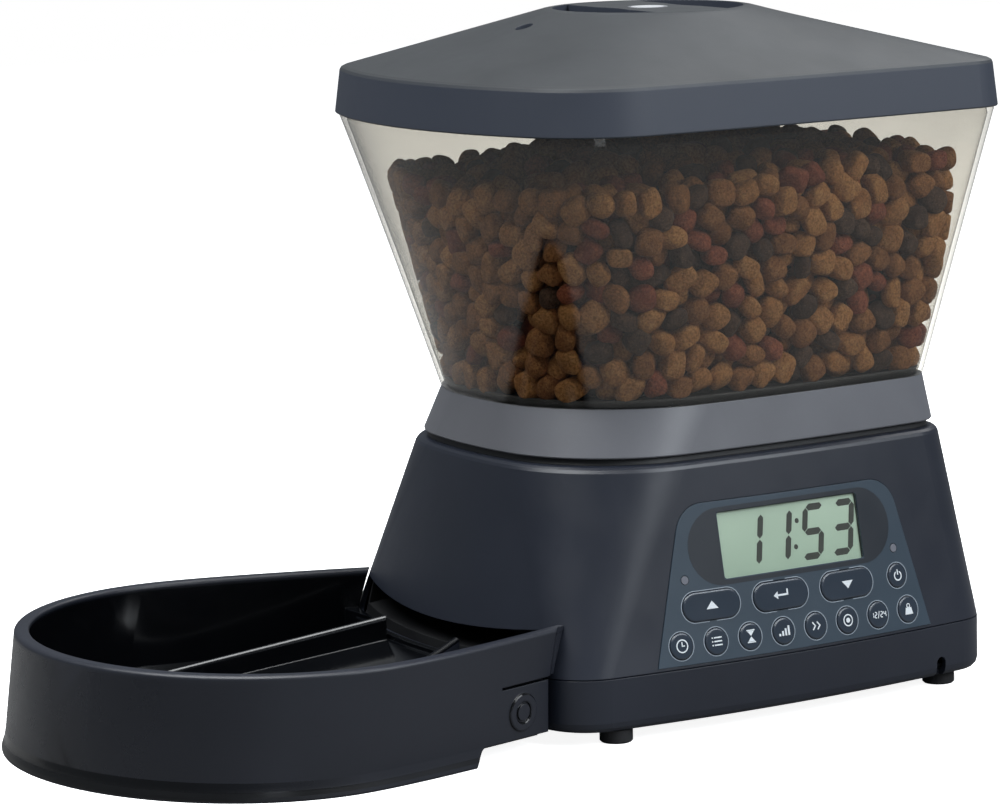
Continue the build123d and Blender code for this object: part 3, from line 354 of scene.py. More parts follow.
def floor_material():
    """Pale matt paper with a faint tooth, lit evenly for the camera and dimmer in reflections."""
    g = Graph("studio_floor")
    tooth = g.noise(300.0, 3.0)
    bright = g.mix(g.between(tooth, 0.3, 0.7), (0.88, 0.88, 0.88, 1), (0.91, 0.91, 0.91, 1))
    seen = g.node("ShaderNodeLightPath").outputs["Is Camera Ray"]
    paper = g.node("ShaderNodeBsdfDiffuse", {"Color": bright, "Normal": g.bump(tooth, 0.05 * MM)})
    glow = g.node("ShaderNodeEmission", {"Color": (1, 1, 1, 1), "Strength": FLOOR_GLOW})
    lit = g.node("ShaderNodeAddShader", {0: paper.outputs[0], 1: glow.outputs[0]})
    dim = g.node("ShaderNodeBsdfDiffuse", {"Color": (FLOOR_REFLECTED,) * 3 + (1,)})
    whole = g.node("ShaderNodeMixShader", {0: seen, 1: dim.outputs[0], 2: lit.outputs[0]})
    g.tree.links.new(whole.outputs[0], g.output.inputs["Surface"])
    return g.material


MATERIALS = {
    "black_plastic": moulded("black_plastic", srgb(31, 35, 45), 0.36),
    "gloss_black": bowl_plastic(),
    # The lid's upright faces take a bluer colour: a painted sheen of light on its skirt.
    "lid_plastic": moulded("lid_plastic", srgb(53, 55, 57), 0.50, side=srgb(50, 55, 66)),
    "grey_plastic": moulded("grey_plastic", srgb(74, 75, 78), 0.5),
    # The outlet chute's near-black colour is painted shade: the mouth that light hardly reaches.
    "chute_painted_shade": moulded("chute_painted_shade", srgb(9, 10, 12), 0.45),
    "neck_plastic": moulded("neck_plastic", srgb(24, 25, 28), 0.5),
    "band_grey": moulded("band_grey", srgb(98, 99, 104), 0.36, wear=1.15),
    "smoky_clear": clear_wall("smoky_clear", (0.855, 0.843, 0.812, 1.0), 0.002),
    "cell_wrap": cell_wrap(),
    "spring_steel": metal("spring_steel", srgb(200, 200, 196), 0.25),
    "screw_steel": metal("screw_steel", srgb(176, 178, 182), 0.32, (1.0, 1.0, 1.0)),
    "rubber": rubber("rubber", srgb(30, 30, 32)),
    "bush_brass": metal("bush_brass", srgb(214, 172, 94), 0.26, (1.0, 30.0, 1.0)),
    "auger_plastic": moulded("auger_plastic", srgb(150, 150, 147), 0.45, wear=1.1),
    "gear_plastic": moulded("gear_plastic", srgb(224, 220, 206), 0.4, wear=1.05),
    "motor_can": metal("motor_can", srgb(190, 192, 194), 0.3, (1.0, 1.0, 20.0)),
    "badge_silver": badge(),
    "panel_slate": moulded("panel_slate", srgb(46, 60, 72), 0.40, grain=0.006, edge=0.3),
    "lens_clear": clear_wall("lens_clear", (0.985, 0.99, 0.985, 1.0), 0.001, 0.05),
    "lcd_grey": moulded("lcd_grey", srgb(120, 128, 120), 0.4),
    "led_plastic": moulded("led_plastic", srgb(112, 114, 122), 0.22, edge=0.3, coat=0.4),
    "board_green": circuit_board(),
    "switch_black": moulded("switch_black", srgb(38, 38, 40), 0.5),
    "button_slate": moulded("button_slate", srgb(40, 50, 62), 0.22, grain=0.004, edge=0.9, coat=0.7),
}


# Own materials: the chute's is painted shade, and the lid's carries a painted sheen on its sides.
OWN_FINISH_AND_PAINTED_LIGHT = {"outlet_chute": "chute_painted_shade", "lid": "lid_plastic", "lid_knob": "lid_plastic"}


def paint_frame():
    """Gives every CAD node its own material, or else the material of its slot in the record. The outlet chute's
    own material is a near-black painted shade, and the lid's has a painted sheen on its upright faces.
    """
    for part in frame["record"]["subparts"]:
        finish_or_painted_light = OWN_FINISH_AND_PAINTED_LIGHT.get(part["node"], part["material_slot"])
        for slot in nodes[part["node"]].material_slots:
            slot.material = MATERIALS[finish_or_painted_light]


# ---------------------------------------------------------------- mesh helpers

def make_mesh(name, points, faces, material, body, smooth=False):
    """A mesh piece in the frame's metres, riding on a body."""
    mesh = bpy.data.meshes.new(name)
    mesh.from_pydata([tuple(p) for p in points], [], [tuple(f) for f in faces])
    mesh.materials.append(material)
    mesh.polygons.foreach_set("use_smooth", [smooth] * len(mesh.polygons))
    mesh.update()
    made = bpy.data.objects.new(name, mesh)
    bpy.context.scene.collection.objects.link(made)
    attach(made, body)
    return made


def node_points(node):
    mesh = nodes[node].data
    points = np.zeros(len(mesh.vertices) * 3)
    mesh.vertices.foreach_get("co", points)
    return points.reshape(-1, 3)


def node_tree(node):
    """A search tree over a CAD node's surface, for casting rays at it."""
    mesh = nodes[node].data
    mesh.calc_loop_triangles()
    triangles = [tuple(t.vertices) for t in mesh.loop_triangles]
    return BVHTree.FromPolygons([tuple(p) for p in node_points(node)], triangles)


class SideWall:
    """The outer face of the control panel, carried on smoothly over its holes."""

    def __init__(self):
        low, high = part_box("control_panel")
        tree = node_tree("control_panel")
        self.middle = np.array([(low.y + high.y) / 2, (low.z + high.z) / 2])
        self.half = (high.y - low.y) / 2
        places, depths = [], []
        for y in np.linspace(low.y, high.y, 60):
            for z in np.linspace(low.z, high.z, 30):
                hit, normal = tree.ray_cast(Vector((high.x + 0.05, y, z)), Vector((-1, 0, 0)))[:2]
                if hit is not None and normal.x > 0.8:
                    places.append((y, z))
                    depths.append(hit.x)
        self.weights = np.linalg.lstsq(self.terms(np.array(places)), np.array(depths), rcond=None)[0]

    def terms(self, places):
        y, z = ((places - self.middle) / self.half).T
        return np.stack([np.ones_like(y), y, z, y * y, y * z, z * z, y * y * z, y * z * z], 1)

    def x(self, y, z):
        return float((self.terms(np.array([(y, z)])) @ self.weights)[0])

    def normal(self, y, z):
        step = 1.0 * MM
        return Vector((1.0, (self.x(y - step, z) - self.x(y + step, z)) / (2 * step),
                       (self.x(y, z - step) - self.x(y, z + step)) / (2 * step))).normalized()

    def below(self, point, normal):
        """Where the line through a point along a normal meets the wall."""
        for _ in range(4):
            point = point + normal * ((self.x(point.y, point.z) - point.x) / normal.x)
        return point


# ---------------------------------------------------------------- printed marks

class Patch:
    """A local drawing plane: x runs along the object, y up, z out of the surface. Units are millimetres."""

    def __init__(self, origin, normal):
        self.normal = Vector(normal).normalized()
        self.along = Vector((0, 0, 1)).cross(self.normal).normalized()
        self.up = self.normal.cross(self.along)
        self.origin = Vector(origin)

    def point(self, x, y, z=0.0):
        return self.origin + (self.along * x + self.up * y + self.normal * z) * MM


def key_joint(name):
    return next(j for j in joints if j["child"] == f"key_{name}")


def key_patch(name):
    """The drawing plane on top of a push key, at its centre."""
    normal = -Vector(key_joint(name)["axis"]).normalized()
    points = node_points(f"button_{name}")
    height = points @ np.array(normal)
    patch = Patch((0, 0, 0), normal)
    top = points[height > height.max() - 0.02 * MM]
    spans = [top @ np.array(direction) for direction in (patch.along, patch.up)]
    middle = [(span.min() + span.max()) / 2 for span in spans]
    patch.origin = patch.along * middle[0] + patch.up * middle[1] + normal * float(height.max())
    return patch


def key_size(name, patch):
    """Half length and half height of a key's cap, from its widest points near the top."""
    points = node_points(f"button_{name}")
    offset = points - np.array(patch.origin)
    cap = offset[offset @ np.array(patch.normal) > -2.0 * MM]
    return [np.abs(cap @ np.array(direction)).max() / MM for direction in (patch.along, patch.up)]


def stadium(half_length, half_height, steps=48):
    """Points round a stadium, or a circle when both halves are equal."""
    straight = half_length - half_height
    points = []
    for index in range(steps):
        angle = 2 * math.pi * (index + 0.5) / steps
        side = straight if math.cos(angle) > 0 else -straight
        points.append((side + half_height * math.cos(angle), half_height * math.sin(angle)))
    return np.array(points)


def corner_angles(half_length, half_height, steps=96):
    """Evenly spread angles, with the four corners of a rectangle among them."""
    corner = math.atan2(half_height, half_length)
    corners = [corner, math.pi - corner, math.pi + corner, 2 * math.pi - corner]
    return sorted(set([2 * math.pi * index / steps for index in range(steps)] + corners))


def rectangle_at(half_length, half_height, angles):
    """Where rays at these angles from the middle leave a rectangle."""
    unit = np.stack([np.cos(angles), np.sin(angles)], 1)
    return unit / np.maximum(abs(unit[:, :1]) / half_length, abs(unit[:, 1:]) / half_height)


def stadium_at(half_length, half_height, angles):
    """Where rays at these angles from the middle leave a stadium."""
    straight = half_length - half_height
    points = []
    for angle in angles:
        across, up = abs(math.cos(angle)), abs(math.sin(angle))
        reach = half_height / max(up, 1e-9)
        if across * reach > straight:
            reach = straight * across + math.sqrt(half_height ** 2 - (straight * up) ** 2)
        points.append((reach * math.cos(angle), reach * math.sin(angle)))
    return np.array(points)


class Prints:
    """Collects thin closed shapes and writes them as one piece."""

    def __init__(self, drape=None, lift=0.04, depth=0.10):
        self.points, self.faces = [], []
        self.drape, self.lift, self.depth = drape, lift, depth

    def put(self, patch, x, y, height):
        spot = patch.point(x, y)
        if self.drape is not None:
            spot = self.drape.below(spot, patch.normal)
        self.points.append(spot + patch.normal * height * MM)

    def polygon(self, patch, outline):
        """A flat closed prism with this outline."""
        start, count = len(self.points), len(outline)
        for height in (self.lift, self.lift - self.depth):
            for x, y in outline:
                self.put(patch, x, y, height)
        self.faces.append([start + i for i in range(count)])
        self.faces.append([start + count + i for i in reversed(range(count))])
        for i in range(count):
            j = (i + 1) % count
            self.faces.append([start + i, start + count + i, start + count + j, start + j])

    def band(self, patch, outer, inner, rows=1, closed=True):
        """A closed ring, or an open strip, between two outlines with the same number of points."""
        start, count = len(self.points), len(outer)
        for height in (self.lift, self.lift - self.depth):
            for row in range(rows + 1):
                line = outer + (inner - outer) * row / rows
                for x, y in line:
                    self.put(patch, x, y, height)
        layer = (rows + 1) * count
        spans = range(count) if closed else range(count - 1)

        def at(level, row, index):
            return start + level * layer + row * count + index % count
        for index in spans:
            for row in range(rows):
                near, far = (row, index), (row, index + 1)
                beyond, beside = (row + 1, index + 1), (row + 1, index)
                self.faces.append([at(0, *spot) for spot in (near, far, beyond, beside)])
                self.faces.append([at(1, *spot) for spot in (near, beside, beyond, far)])
            self.faces.append([at(0, 0, index), at(1, 0, index), at(1, 0, index + 1), at(0, 0, index + 1)])
            self.faces.append([at(0, rows, index), at(0, rows, index + 1),
                               at(1, rows, index + 1), at(1, rows, index)])
        if not closed:
            for index, order in ((0, 1), (count - 1, -1)):
                for row in range(rows):
                    end = [at(0, row, index), at(0, row + 1, index), at(1, row + 1, index), at(1, row, index)]
                    self.faces.append(end[::order])

    def stroke(self, patch, first, second, width):
        """A straight bar between two points."""
        a, b = np.array(first, float), np.array(second, float)
        side = np.array([-(b - a)[1], (b - a)[0]]) / np.linalg.norm(b - a) * width / 2
        self.polygon(patch, [a - side, b - side, b + side, a + side])

    def arc(self, patch, centre, radius, width, start=0.0, end=360.0, steps=32):
        """A ring, or part of one, with angles in degrees."""
        closed = end - start >= 360.0
        count = steps if closed else steps + 1
        angles = np.radians([start + (end - start) * i / steps for i in range(count)])
        unit = np.stack([np.cos(angles), np.sin(angles)], 1)
        self.band(patch, np.array(centre) + unit * (radius + width / 2),
                  np.array(centre) + unit * (radius - width / 2), closed=closed)

    def write(self, name, material, body, slot):
        return make_mesh(name, self.points, self.faces, material, body)


# Places inside the display window, from its lower left corner, in millimetres.
DIGIT_LEFTS = (9.6, 27.1, 47.5, 66.3)
DIGIT_WIDTH, DIGIT_HEIGHT, DIGIT_THICK = 13.8, 27.1, 3.3
DIGIT_BOTTOM = 3.0
DIGIT_SLANT = 0.2
COLON_DOTS = ((44.0, 10.3), (44.0, 22.8))

# Each of the seven segments as (middle x, middle y, upright), in digit widths and half heights.
SEGMENTS = {"top": (0.5, 1.0, False), "middle": (0.5, 0.5, False), "bottom": (0.5, 0.0, False),
            "upper_left": (0.0, 0.75, True), "upper_right": (1.0, 0.75, True),
            "lower_left": (0.0, 0.25, True), "lower_right": (1.0, 0.25, True)}
DIGITS = {
    "1": ["upper_right", "lower_right"],
    "2": ["top", "upper_right", "middle", "lower_left", "bottom"],
    "3": ["top", "upper_right", "middle", "lower_right", "bottom"],
    "4": ["upper_left", "upper_right", "middle", "lower_right"],
    "5": ["top", "upper_left", "middle", "lower_right", "bottom"],
}


def draw_digit(prints, patch, digit, left, bottom, width, height, thick, gap, slant=0.0):
    """One seven-segment digit, with pointed segment ends; slant is how far it leans per unit of height."""
    half = thick / 2
    for name in DIGITS[digit]:
        x, y, upright = SEGMENTS[name]
        x, y = left + half + x * (width - thick), bottom + half + y * (height - thick)
        reach = ((height - thick) / 2 if upright else width - thick) / 2 - gap
        shape = [(-reach, 0), (-reach + half, -half), (reach - half, -half),
                 (reach, 0), (reach - half, half), (-reach + half, half)]
        if upright:
            shape = [(-b, a) for a, b in shape]
        prints.polygon(patch, [(x + a + slant * (y + b - bottom), y + b) for a, b in shape])


# ---------------------------------------------------------------- display and panel prints

def display_patch(wall):
    """The drawing plane in the middle of the display window, and the window's half sizes."""
    low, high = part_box("lcd_lens")
    y, z = (low.y + high.y) / 2, (low.z + high.z) / 2
    patch = Patch((wall.x(y, z), y, z), wall.normal(y, z))
    half_length = (high.y - low.y) / 2 / MM
    return patch, half_length, (high.z - low.z) / 2 / MM / patch.up.z


def display(wall):
    """The lit face behind the window, with a plain time on it."""
    patch, half_length, half_height = display_patch(wall)
    half_length, half_height = half_length - 0.05, half_height - 0.05
    face = Prints(wall, lift=-1.70, depth=0.4)
    grid = rectangle_at(half_length, half_height, corner_angles(half_length, half_height, 48))
    face.band(patch, grid, grid * 0.02, rows=6)
    face.polygon(patch, grid * 0.02)
    face.write("lcd_face", display_glass(), "root", "lcd_grey")
    digits = Prints(wall, lift=-1.64, depth=0.2)
    for digit, left in zip("1153", DIGIT_LEFTS):
        draw_digit(digits, patch, digit, left - half_length, DIGIT_BOTTOM - half_height,
                   DIGIT_WIDTH, DIGIT_HEIGHT, DIGIT_THICK, 0.22, DIGIT_SLANT)
    for x, y in COLON_DOTS:
        x += DIGIT_SLANT * (y - DIGIT_BOTTOM)
        digits.polygon(patch, stadium(1.25, 1.25, 16) + (x - half_length, y - half_height))
    digits.write("lcd_digits", ink("lcd_ink", srgb(62, 64, 57), 0.4), "root", "lcd_grey")


def panel_prints(wall):
    """The dark surround of the display and a thin pale line round every key."""
    patch, half_length, half_height = display_patch(wall)
    surround = Prints(wall, lift=0.03, depth=0.12)
    angles = corner_angles(half_length, half_height)
    surround.band(patch, stadium_at(61.5, 18.7, angles),
                  rectangle_at(half_length + 0.3, half_height + 0.3, angles), rows=3)
    dark = moulded("surround_dark", srgb(34, 39, 46), 0.36, grain=0.004, edge=0.1)
    surround.write("display_surround", dark, "root", "panel_slate")
    lines = Prints(wall, lift=0.05, depth=0.15)
    for joint in joints:
        if joint["name"].startswith("press_"):
            name = joint["name"][len("press_"):]
            key = key_patch(name)
            half_length, half_height = key_size(name, key)
            half_length = max(half_length, half_height)
            lines.band(key, stadium(half_length + 0.80, half_height + 0.80, 72),
                       stadium(half_length + 0.40, half_height + 0.40, 72))
    lines.write("key_outlines", ink("outline_ink", srgb(150, 160, 170), 0.45), "root", "panel_slate")


def key_marks():
    """A plain sign on each key, riding on the key."""
    white = ink("mark_ink", srgb(222, 228, 232), 0.45)

    def triangle(p, key, up):
        p.polygon(key, [(-3.4, -1.7 * up), (3.4, -1.7 * up), (0, 2.1 * up)][::int(up)])

    def enter(p, key):
        p.stroke(key, (-3.0, 0.0), (4.0, 0.0), 0.9)
        p.stroke(key, (3.6, 0.3), (3.6, 2.6), 0.9)
        p.polygon(key, [(-4.8, 0), (-2.2, -1.9), (-2.2, 1.9)])

    def power(p, key):
        p.arc(key, (0, -0.2), 2.2, 0.65, 120, 420)
        p.stroke(key, (0, 0.3), (0, 2.9), 0.65)

    def clock(p, key):
        p.arc(key, (0, 0), 3.0, 0.6)
        p.stroke(key, (0, -0.2), (0, 2.0), 0.55)
        p.stroke(key, (-0.2, 0), (1.5, 0), 0.55)

    def preset(p, key):
        for y in (-1.8, 0.0, 1.8):
            p.stroke(key, (-1.6, y), (2.9, y), 0.65)
            p.stroke(key, (-2.9, y), (-2.2, y), 0.65)

    def meal_time(p, key):
        p.polygon(key, [(-2.0, 2.5), (0, 0.15), (2.0, 2.5)])
        p.polygon(key, [(-2.0, -2.5), (2.0, -2.5), (0, -0.15)])
        for y in (-2.9, 2.9):
            p.stroke(key, (-2.4, y), (2.4, y), 0.55)

    def meal_size(p, key):
        for index in range(4):
            p.stroke(key, (-2.7 + 1.8 * index, -2.3), (-2.7 + 1.8 * index, -1.1 + 1.15 * index), 1.1)

    def slow(p, key):
        for x in (-1.6, 1.2):
            p.stroke(key, (x - 0.8, 1.9), (x + 0.95, -0.15), 0.65)
            p.stroke(key, (x - 0.8, -1.9), (x + 0.95, 0.15), 0.65)

    def manual(p, key):
        p.arc(key, (0, 0), 2.7, 0.6)
        p.polygon(key, stadium(1.2, 1.2, 20))

    def hours(p, key):
        for digit, left in (("1", -4.9), ("2", -2.75), ("2", 1.0), ("4", 3.15)):
            draw_digit(p, key, digit, left, -1.6, 1.75, 3.2, 0.5, 0.02)
        p.stroke(key, (-0.55, -1.7), (0.55, 1.7), 0.45)

    def units(p, key):
        p.polygon(key, [(-2.6, -2.5), (2.6, -2.5), (1.8, 0.9), (-1.8, 0.9)])
        p.arc(key, (0, 1.8), 0.95, 0.5)

    signs = {"up": lambda p, key: triangle(p, key, 1.0), "down": lambda p, key: triangle(p, key, -1.0),
             "enter": enter, "power": power, "clock": clock, "preset": preset, "meal_time": meal_time,
             "meal_size": meal_size, "slow": slow, "manual": manual, "hours": hours, "units": units}
    for name, draw in signs.items():
        marks = Prints(lift=0.04, depth=0.10)
        draw(marks, key_patch(name))
        marks.write(f"mark_{name}", white, f"key_{name}", "button_slate")


# ---------------------------------------------------------------- the dry food

PIECE_LENGTH = 13.6 * MM
PIECE_REACH = 6.3 * MM         # half the usual distance between neighbours
BAND_DEPTH = 26.0 * MM         # how far in from the wall loose pieces reach; a heap painted near-black as shade fills the rest
HEAP_TOP_FRONT = 259.0 * MM
HEAP_TOP_BACK = 268.0 * MM
MOUND = 17.0 * MM              # how much higher the middle of the heap stands
BACK_ROOM = 16.0 * MM          # how far the heap's top stays off the back wall
FRONT_ROOM = 11.0 * MM
WALL_ANGLES, WALL_LEVELS = 120, 10


class Hopper:
    """The hopper's inner wall as a radius for each direction and height about an upright axis."""

    def __init__(self):
        low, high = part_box("hopper")
        self.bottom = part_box("hopper_funnel")[1].z + 0.5 * MM
        self.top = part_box("lid")[0].z
        self.centre = np.array([0.0, (low.y + high.y) / 2])
        tree = node_tree("hopper")
        self.table = np.zeros((WALL_LEVELS, WALL_ANGLES))
        for row in range(WALL_LEVELS):
            z = self.bottom + (self.top - 2 * MM - self.bottom) * row / (WALL_LEVELS - 1)
            for column in range(WALL_ANGLES):
                angle = 2 * math.pi * column / WALL_ANGLES
                start = Vector((self.centre[0], self.centre[1], z))
                hit = tree.ray_cast(start, Vector((math.cos(angle), math.sin(angle), 0)))[0]
                self.table[row, column] = (hit - start).length

    def radius(self, points):
        """Inner wall radius beside each point, with room left at the front and back near the top."""
        offset = points[:, :2] - self.centre
        angle = np.arctan2(offset[:, 1], offset[:, 0]) % (2 * math.pi)
        column = angle / (2 * math.pi) * WALL_ANGLES
        left = np.floor(column).astype(int) % WALL_ANGLES
        share = column - np.floor(column)
        level = np.clip((points[:, 2] - self.bottom) / (self.top - 2 * MM - self.bottom), 0, 1)
        row = level * (WALL_LEVELS - 1)
        under = np.minimum(np.floor(row).astype(int), WALL_LEVELS - 2)
        rise = row - under

        def ring(index):
            return self.table[index, left] * (1 - share) + self.table[index, (left + 1) % WALL_ANGLES] * share
        wall = ring(under) * (1 - rise) + ring(under + 1) * rise
        back_room = np.clip(np.sin(angle) * 1.5, 0, 1) * BACK_ROOM * level ** 3
        front_room = np.clip(-np.sin(angle) * 1.5, 0, 1) * FRONT_ROOM * level
        return wall - back_room - front_room

    def depth(self, points):
        """Distance in from the wall, and the outward direction square to the wall."""
        step = 0.5 * MM

        def room(p):
            return self.radius(p) - np.linalg.norm(p[:, :2] - self.centre, axis=1)
        value = room(points)
        slope = np.stack([(room(points + np.eye(3)[k] * step) - value) / step for k in range(3)], 1)
        size = np.linalg.norm(slope, axis=1, keepdims=True)
        return value / size[:, 0], -slope / size

    def heap_top(self, points):
        share = np.clip((points[:, 1] + 0.02) / 0.26, 0, 1)
        wave = np.sin(points[:, 0] * 38.0 + 1.0) * np.sin(points[:, 1] * 31.0) * 2.5 * MM
        away = (points[:, 0] / 0.085) ** 2 + ((points[:, 1] - self.centre[1]) / 0.115) ** 2
        mound = MOUND * np.clip(1.0 - away, 0, 1)
        return HEAP_TOP_FRONT + (HEAP_TOP_BACK - HEAP_TOP_FRONT) * share + wave + mound


def settle(hopper, rng):
    """Piece centres, packed close together along the walls and over the top of the heap."""
    reach = PIECE_REACH
    low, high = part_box("hopper")
    spacing = 1.62 * reach
    axes = [np.arange(a, b, spacing) for a, b in
            ((low.x, high.x), (low.y, high.y), (hopper.bottom, hopper.top))]
    grid = np.stack(np.meshgrid(*axes, indexing="ij"), -1).reshape(-1, 3)
    grid += rng.uniform(-0.45, 0.45, grid.shape) * spacing
    depth, _ = hopper.depth(grid)
    below = hopper.heap_top(grid) - grid[:, 2]
    keep = (depth > reach * 0.7) & (below > reach * 0.7) & (grid[:, 2] > hopper.bottom + reach * 0.7)
    keep &= (depth < BAND_DEPTH) | (below < BAND_DEPTH)
    points = grid[keep]
    for _ in range(60):
        squares = (points ** 2).sum(1)
        gaps = squares[:, None] + squares[None, :] - 2 * points @ points.T
        first, second = np.nonzero(np.triu(gaps < (2 * reach) ** 2, 1))
        apart = points[first] - points[second]
        distance = np.maximum(np.linalg.norm(apart, axis=1, keepdims=True), 1e-6)
        push = apart / distance * (2 * reach - distance) * 0.35
        shift = np.zeros_like(points)
        np.add.at(shift, first, push)
        np.add.at(shift, second, -push)
        points = points + shift
        depth, outward = hopper.depth(points)
        points -= outward * np.maximum(reach * 0.90 - depth, 0)[:, None]
        points += outward * (depth < BAND_DEPTH * 1.2)[:, None] * 0.06 * MM
        highest = hopper.heap_top(points) - reach * 0.6
        points[:, 2] = np.clip(points[:, 2], hopper.bottom + reach * 0.8, highest)
    return points


def pillow(rng, rows=7):
    """Points and quads of one rounded, slightly uneven pellet of about unit radius."""
    line = np.linspace(-1, 1, rows)
    points, faces, index = [], [], {}

    def vertex(p):
        key = tuple(np.round(p, 5))
        if key not in index:
            index[key] = len(points)
            points.append(p)
        return index[key]
    for axis in range(3):
        for side in (-1.0, 1.0):
            for i in range(rows - 1):
                for j in range(rows - 1):
                    corners = []
                    for a, b in ((i, j), (i + 1, j), (i + 1, j + 1), (i, j + 1)):
                        p = np.zeros(3)
                        p[axis], p[(axis + 1) % 3], p[(axis + 2) % 3] = side, line[a], line[b]
                        corners.append(vertex(p))
                    faces.append(corners if side > 0 else corners[::-1])
    cube = np.array(points)
    power = rng.uniform(2.3, 3.4)
    size = (np.abs(cube) ** power).sum(1) ** (1 / power)
    shape = cube / size[:, None]
    for _ in range(4):
        direction = rng.normal(size=3)
        direction /= np.linalg.norm(direction)
        wave = np.sin(shape @ direction * rng.uniform(1.5, 3.2) + rng.uniform(0, 6.28))
        shape *= (1 + 0.045 * wave)[:, None]
    return shape, np.array(faces)


def random_turns(count, rng):
    """Evenly spread random rotation matrices."""
    q = rng.normal(size=(count, 4))
    w, x, y, z = (q / np.linalg.norm(q, axis=1, keepdims=True)).T
    rows = [[1 - 2 * (y * y + z * z), 2 * (x * y - z * w), 2 * (x * z + y * w)],
            [2 * (x * y + z * w), 1 - 2 * (x * x + z * z), 2 * (y * z - x * w)],
            [2 * (x * z - y * w), 2 * (y * z + x * w), 1 - 2 * (x * x + y * y)]]
    return np.array(rows).transpose(2, 0, 1)


def pellets(name, hopper, centres, half_sizes, rng, material):
    """One piece holding a pellet at each centre, flattened where it would press through the wall."""
    shapes = [pillow(rng) for _ in range(7)]
    turns = random_turns(len(centres), rng)
    points, faces, start = [], [], 0
    for centre, turn in zip(centres, turns):
        shape, quads = shapes[rng.integers(len(shapes))]
        size = half_sizes * rng.uniform(0.88, 1.12, 3)
        points.append((shape * size) @ turn.T + centre)
        faces.append(quads + start)
        start += len(shape)
    points = np.concatenate(points)
    depth, outward = hopper.depth(points)
    points -= outward * np.maximum(0.5 * MM - depth, 0)[:, None]
    return make_mesh(name, points, np.concatenate(faces).tolist(), material, "root", smooth=True)


def heap_core(hopper, material):
    """A lumpy closed heap that fills the hopper behind the loose pieces."""
    inset, rings, spokes = 20.0 * MM, 14, 90
    bottom = hopper.bottom - 2.0 * MM
    points, faces = [], []
    angles = np.arange(spokes) * 2 * math.pi / spokes
    unit = np.stack([np.cos(angles), np.sin(angles), np.zeros(spokes)], 1)
    centre = np.array([hopper.centre[0], hopper.centre[1], 0.0])
    for ring in range(rings):
        z = bottom + (HEAP_TOP_FRONT - 14 * MM - bottom) * ring / (rings - 1)
        base = centre + unit * 0.05 + np.array([0, 0, z])
        radius = hopper.radius(base) - inset + 1.5 * MM * np.sin(angles * 23 + ring * 2.1)
        points.append(centre + unit * radius[:, None] + np.array([0, 0, z]))
    points = np.concatenate(points).tolist()
    for ring in range(rings - 1):
        for i in range(spokes):
            j = (i + 1) % spokes
            low, high = ring * spokes, (ring + 1) * spokes
            faces.append([low + i, low + j, high + j, high + i])
    faces.append(list(range(spokes))[::-1])
    faces.append([(rings - 1) * spokes + i for i in range(spokes)])
    return make_mesh("kibble_heap_painted_shade", points, faces, material, "root")


def dry_food():
    rng = np.random.default_rng(52)
    hopper = Hopper()
    centres = settle(hopper, rng)
    kinds = rng.choice(4, len(centres), p=[0.42, 0.27, 0.18, 0.13])
    half = PIECE_LENGTH / 2
    looks = [
        ("kibble_tan", (1.0, 0.96, 0.74), (srgb(178, 120, 70), srgb(212, 152, 94), srgb(224, 170, 114))),
        ("kibble_brown", (0.98, 0.90, 0.78), (srgb(148, 96, 56), srgb(182, 124, 76), srgb(196, 140, 90))),
        ("kibble_red", (0.92, 0.86, 0.66), (srgb(144, 74, 54), srgb(176, 98, 72), srgb(186, 116, 84))),
        ("kibble_dark", (0.98, 0.84, 0.70), (srgb(74, 54, 45), srgb(104, 78, 63), srgb(122, 94, 75))),
    ]
    for kind, (name, share, colours) in enumerate(looks):
        half_sizes = np.array(share) * half
        pellets(name, hopper, centres[kinds == kind], half_sizes, rng, kibble_skin(name, *colours))
    # The heap's near-black colours are painted shade: the food deep in the hopper, under the lid.
    heap_core(hopper, kibble_skin("kibble_heap_painted_shade", srgb(26, 17, 12), srgb(34, 22, 16), srgb(40, 28, 20)))


# ---------------------------------------------------------------- studio

CAMERA_AZIMUTH = 59.22
CAMERA_ELEVATION = 8.63
CAMERA_ROLL = -1.21
CAMERA_DISTANCE = 2.2418
CAMERA_TARGET = (0.0, 0.0139, 0.15055)
CAMERA_LENS = 164.88

# Area lights: name, azimuth and elevation in degrees, distance, size, watts, colour.
LIGHTS = [
    ("key_light", 122, 35, 2.2, (1.5, 1.5), 43, (0.90, 0.95, 1.0)),
    ("top_light", 40, 86, 2.0, (1.6, 1.6), 32, (1.0, 1.0, 1.0)),
    ("side_light", -8, 64, 2.2, (1.6, 1.6), 56, (0.95, 0.98, 1.0)),
    ("corner_light", 66, 12, 2.6, (0.5, 0.5), 1.5, (0.86, 0.92, 1.0)),
    ("back_light", 200, 45, 2.4, (1.4, 1.4), 16, (1.0, 1.0, 1.0)),
]
LIGHT_TARGET = (0.0, 0.0, 0.16)
AMBIENT_COLOUR = (0.86, 0.93, 1.0, 1.0)
AMBIENT_STRENGTH = 0.16
FLOOR_HALF = 4.0


def direction(azimuth, elevation):
    """The unit vector from the object towards a place round it; azimuth 0 is the bowl side."""
    a, e = math.radians(azimuth), math.radians(elevation)
    return Vector((math.sin(a) * math.cos(e), -math.cos(a) * math.cos(e), math.sin(e)))


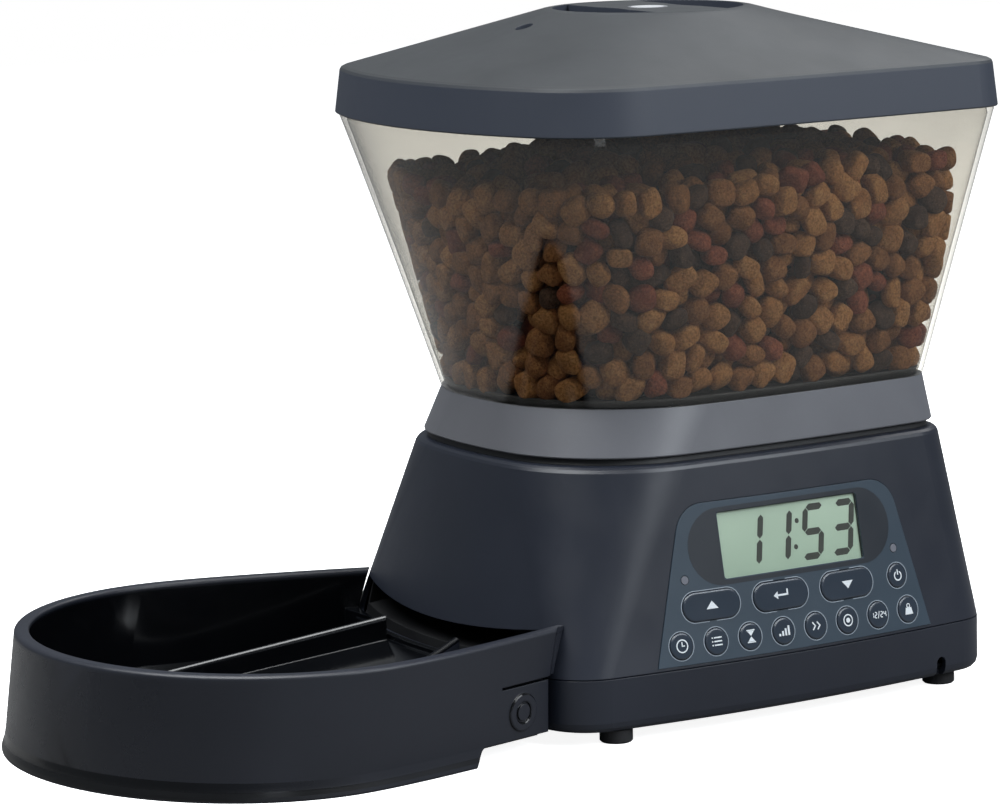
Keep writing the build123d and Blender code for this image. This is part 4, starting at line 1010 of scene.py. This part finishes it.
def camera():
    data = bpy.data.cameras.new("camera")
    data.lens = CAMERA_LENS
    data.clip_start, data.clip_end = 0.05, 50.0
    made = bpy.data.objects.new("camera", data)
    back = direction(CAMERA_AZIMUTH, CAMERA_ELEVATION)
    right = Vector((0, 0, 1)).cross(back).normalized()
    up = back.cross(right)
    roll = math.radians(CAMERA_ROLL)
    turned_right = right * math.cos(roll) + up * math.sin(roll)
    turned_up = up * math.cos(roll) - right * math.sin(roll)
    place = Matrix((turned_right, turned_up, back)).transposed().to_4x4()
    place.translation = Vector(CAMERA_TARGET) + back * CAMERA_DISTANCE
    made.matrix_world = place
    bpy.context.scene.collection.objects.link(made)
    bpy.context.scene.camera = made


def softbox(name, azimuth, elevation, distance, size, power, colour):
    """A rectangular area light that faces the middle of the object."""
    data = bpy.data.lights.new(name, "AREA")
    data.shape = "RECTANGLE"
    data.size, data.size_y = size
    data.energy, data.color = power, colour
    made = bpy.data.objects.new(name, data)
    target = Vector(LIGHT_TARGET)
    back = direction(azimuth, elevation)
    made.location = target + back * distance
    made.rotation_euler = back.to_track_quat("Z", "Y").to_euler()
    bpy.context.scene.collection.objects.link(made)


def studio():
    floor = bpy.data.meshes.new("floor")
    half = FLOOR_HALF
    corners = [(-half, -half, 0), (half, -half, 0), (half, half, 0), (-half, half, 0)]
    floor.from_pydata(corners, [], [(0, 1, 2, 3)])
    floor.materials.append(floor_material())
    ground = bpy.data.objects.new("floor", floor)
    bpy.context.scene.collection.objects.link(ground)

    world = bpy.data.worlds.new("studio")
    world.use_nodes = True
    tree = world.node_tree
    tree.nodes.clear()
    seen = tree.nodes.new("ShaderNodeLightPath").outputs["Is Camera Ray"]
    ambient, backdrop = tree.nodes.new("ShaderNodeBackground"), tree.nodes.new("ShaderNodeBackground")
    ambient.inputs["Color"].default_value = AMBIENT_COLOUR
    ambient.inputs["Strength"].default_value = AMBIENT_STRENGTH
    backdrop.inputs["Color"].default_value = (1, 1, 1, 1)
    pick, out = tree.nodes.new("ShaderNodeMixShader"), tree.nodes.new("ShaderNodeOutputWorld")
    tree.links.new(seen, pick.inputs[0])
    tree.links.new(ambient.outputs[0], pick.inputs[1])
    tree.links.new(backdrop.outputs[0], pick.inputs[2])
    tree.links.new(pick.outputs[0], out.inputs["Surface"])
    bpy.context.scene.world = world

    for light in LIGHTS:
        softbox(*light)

    scene = bpy.context.scene
    scene.view_settings.view_transform = "Standard"
    scene.cycles.transparent_max_bounces = 24


# ---------------------------------------------------------------- build

side_wall = SideWall()
paint_frame()
display(side_wall)
panel_prints(side_wall)
key_marks()
dry_food()
camera()
studio()
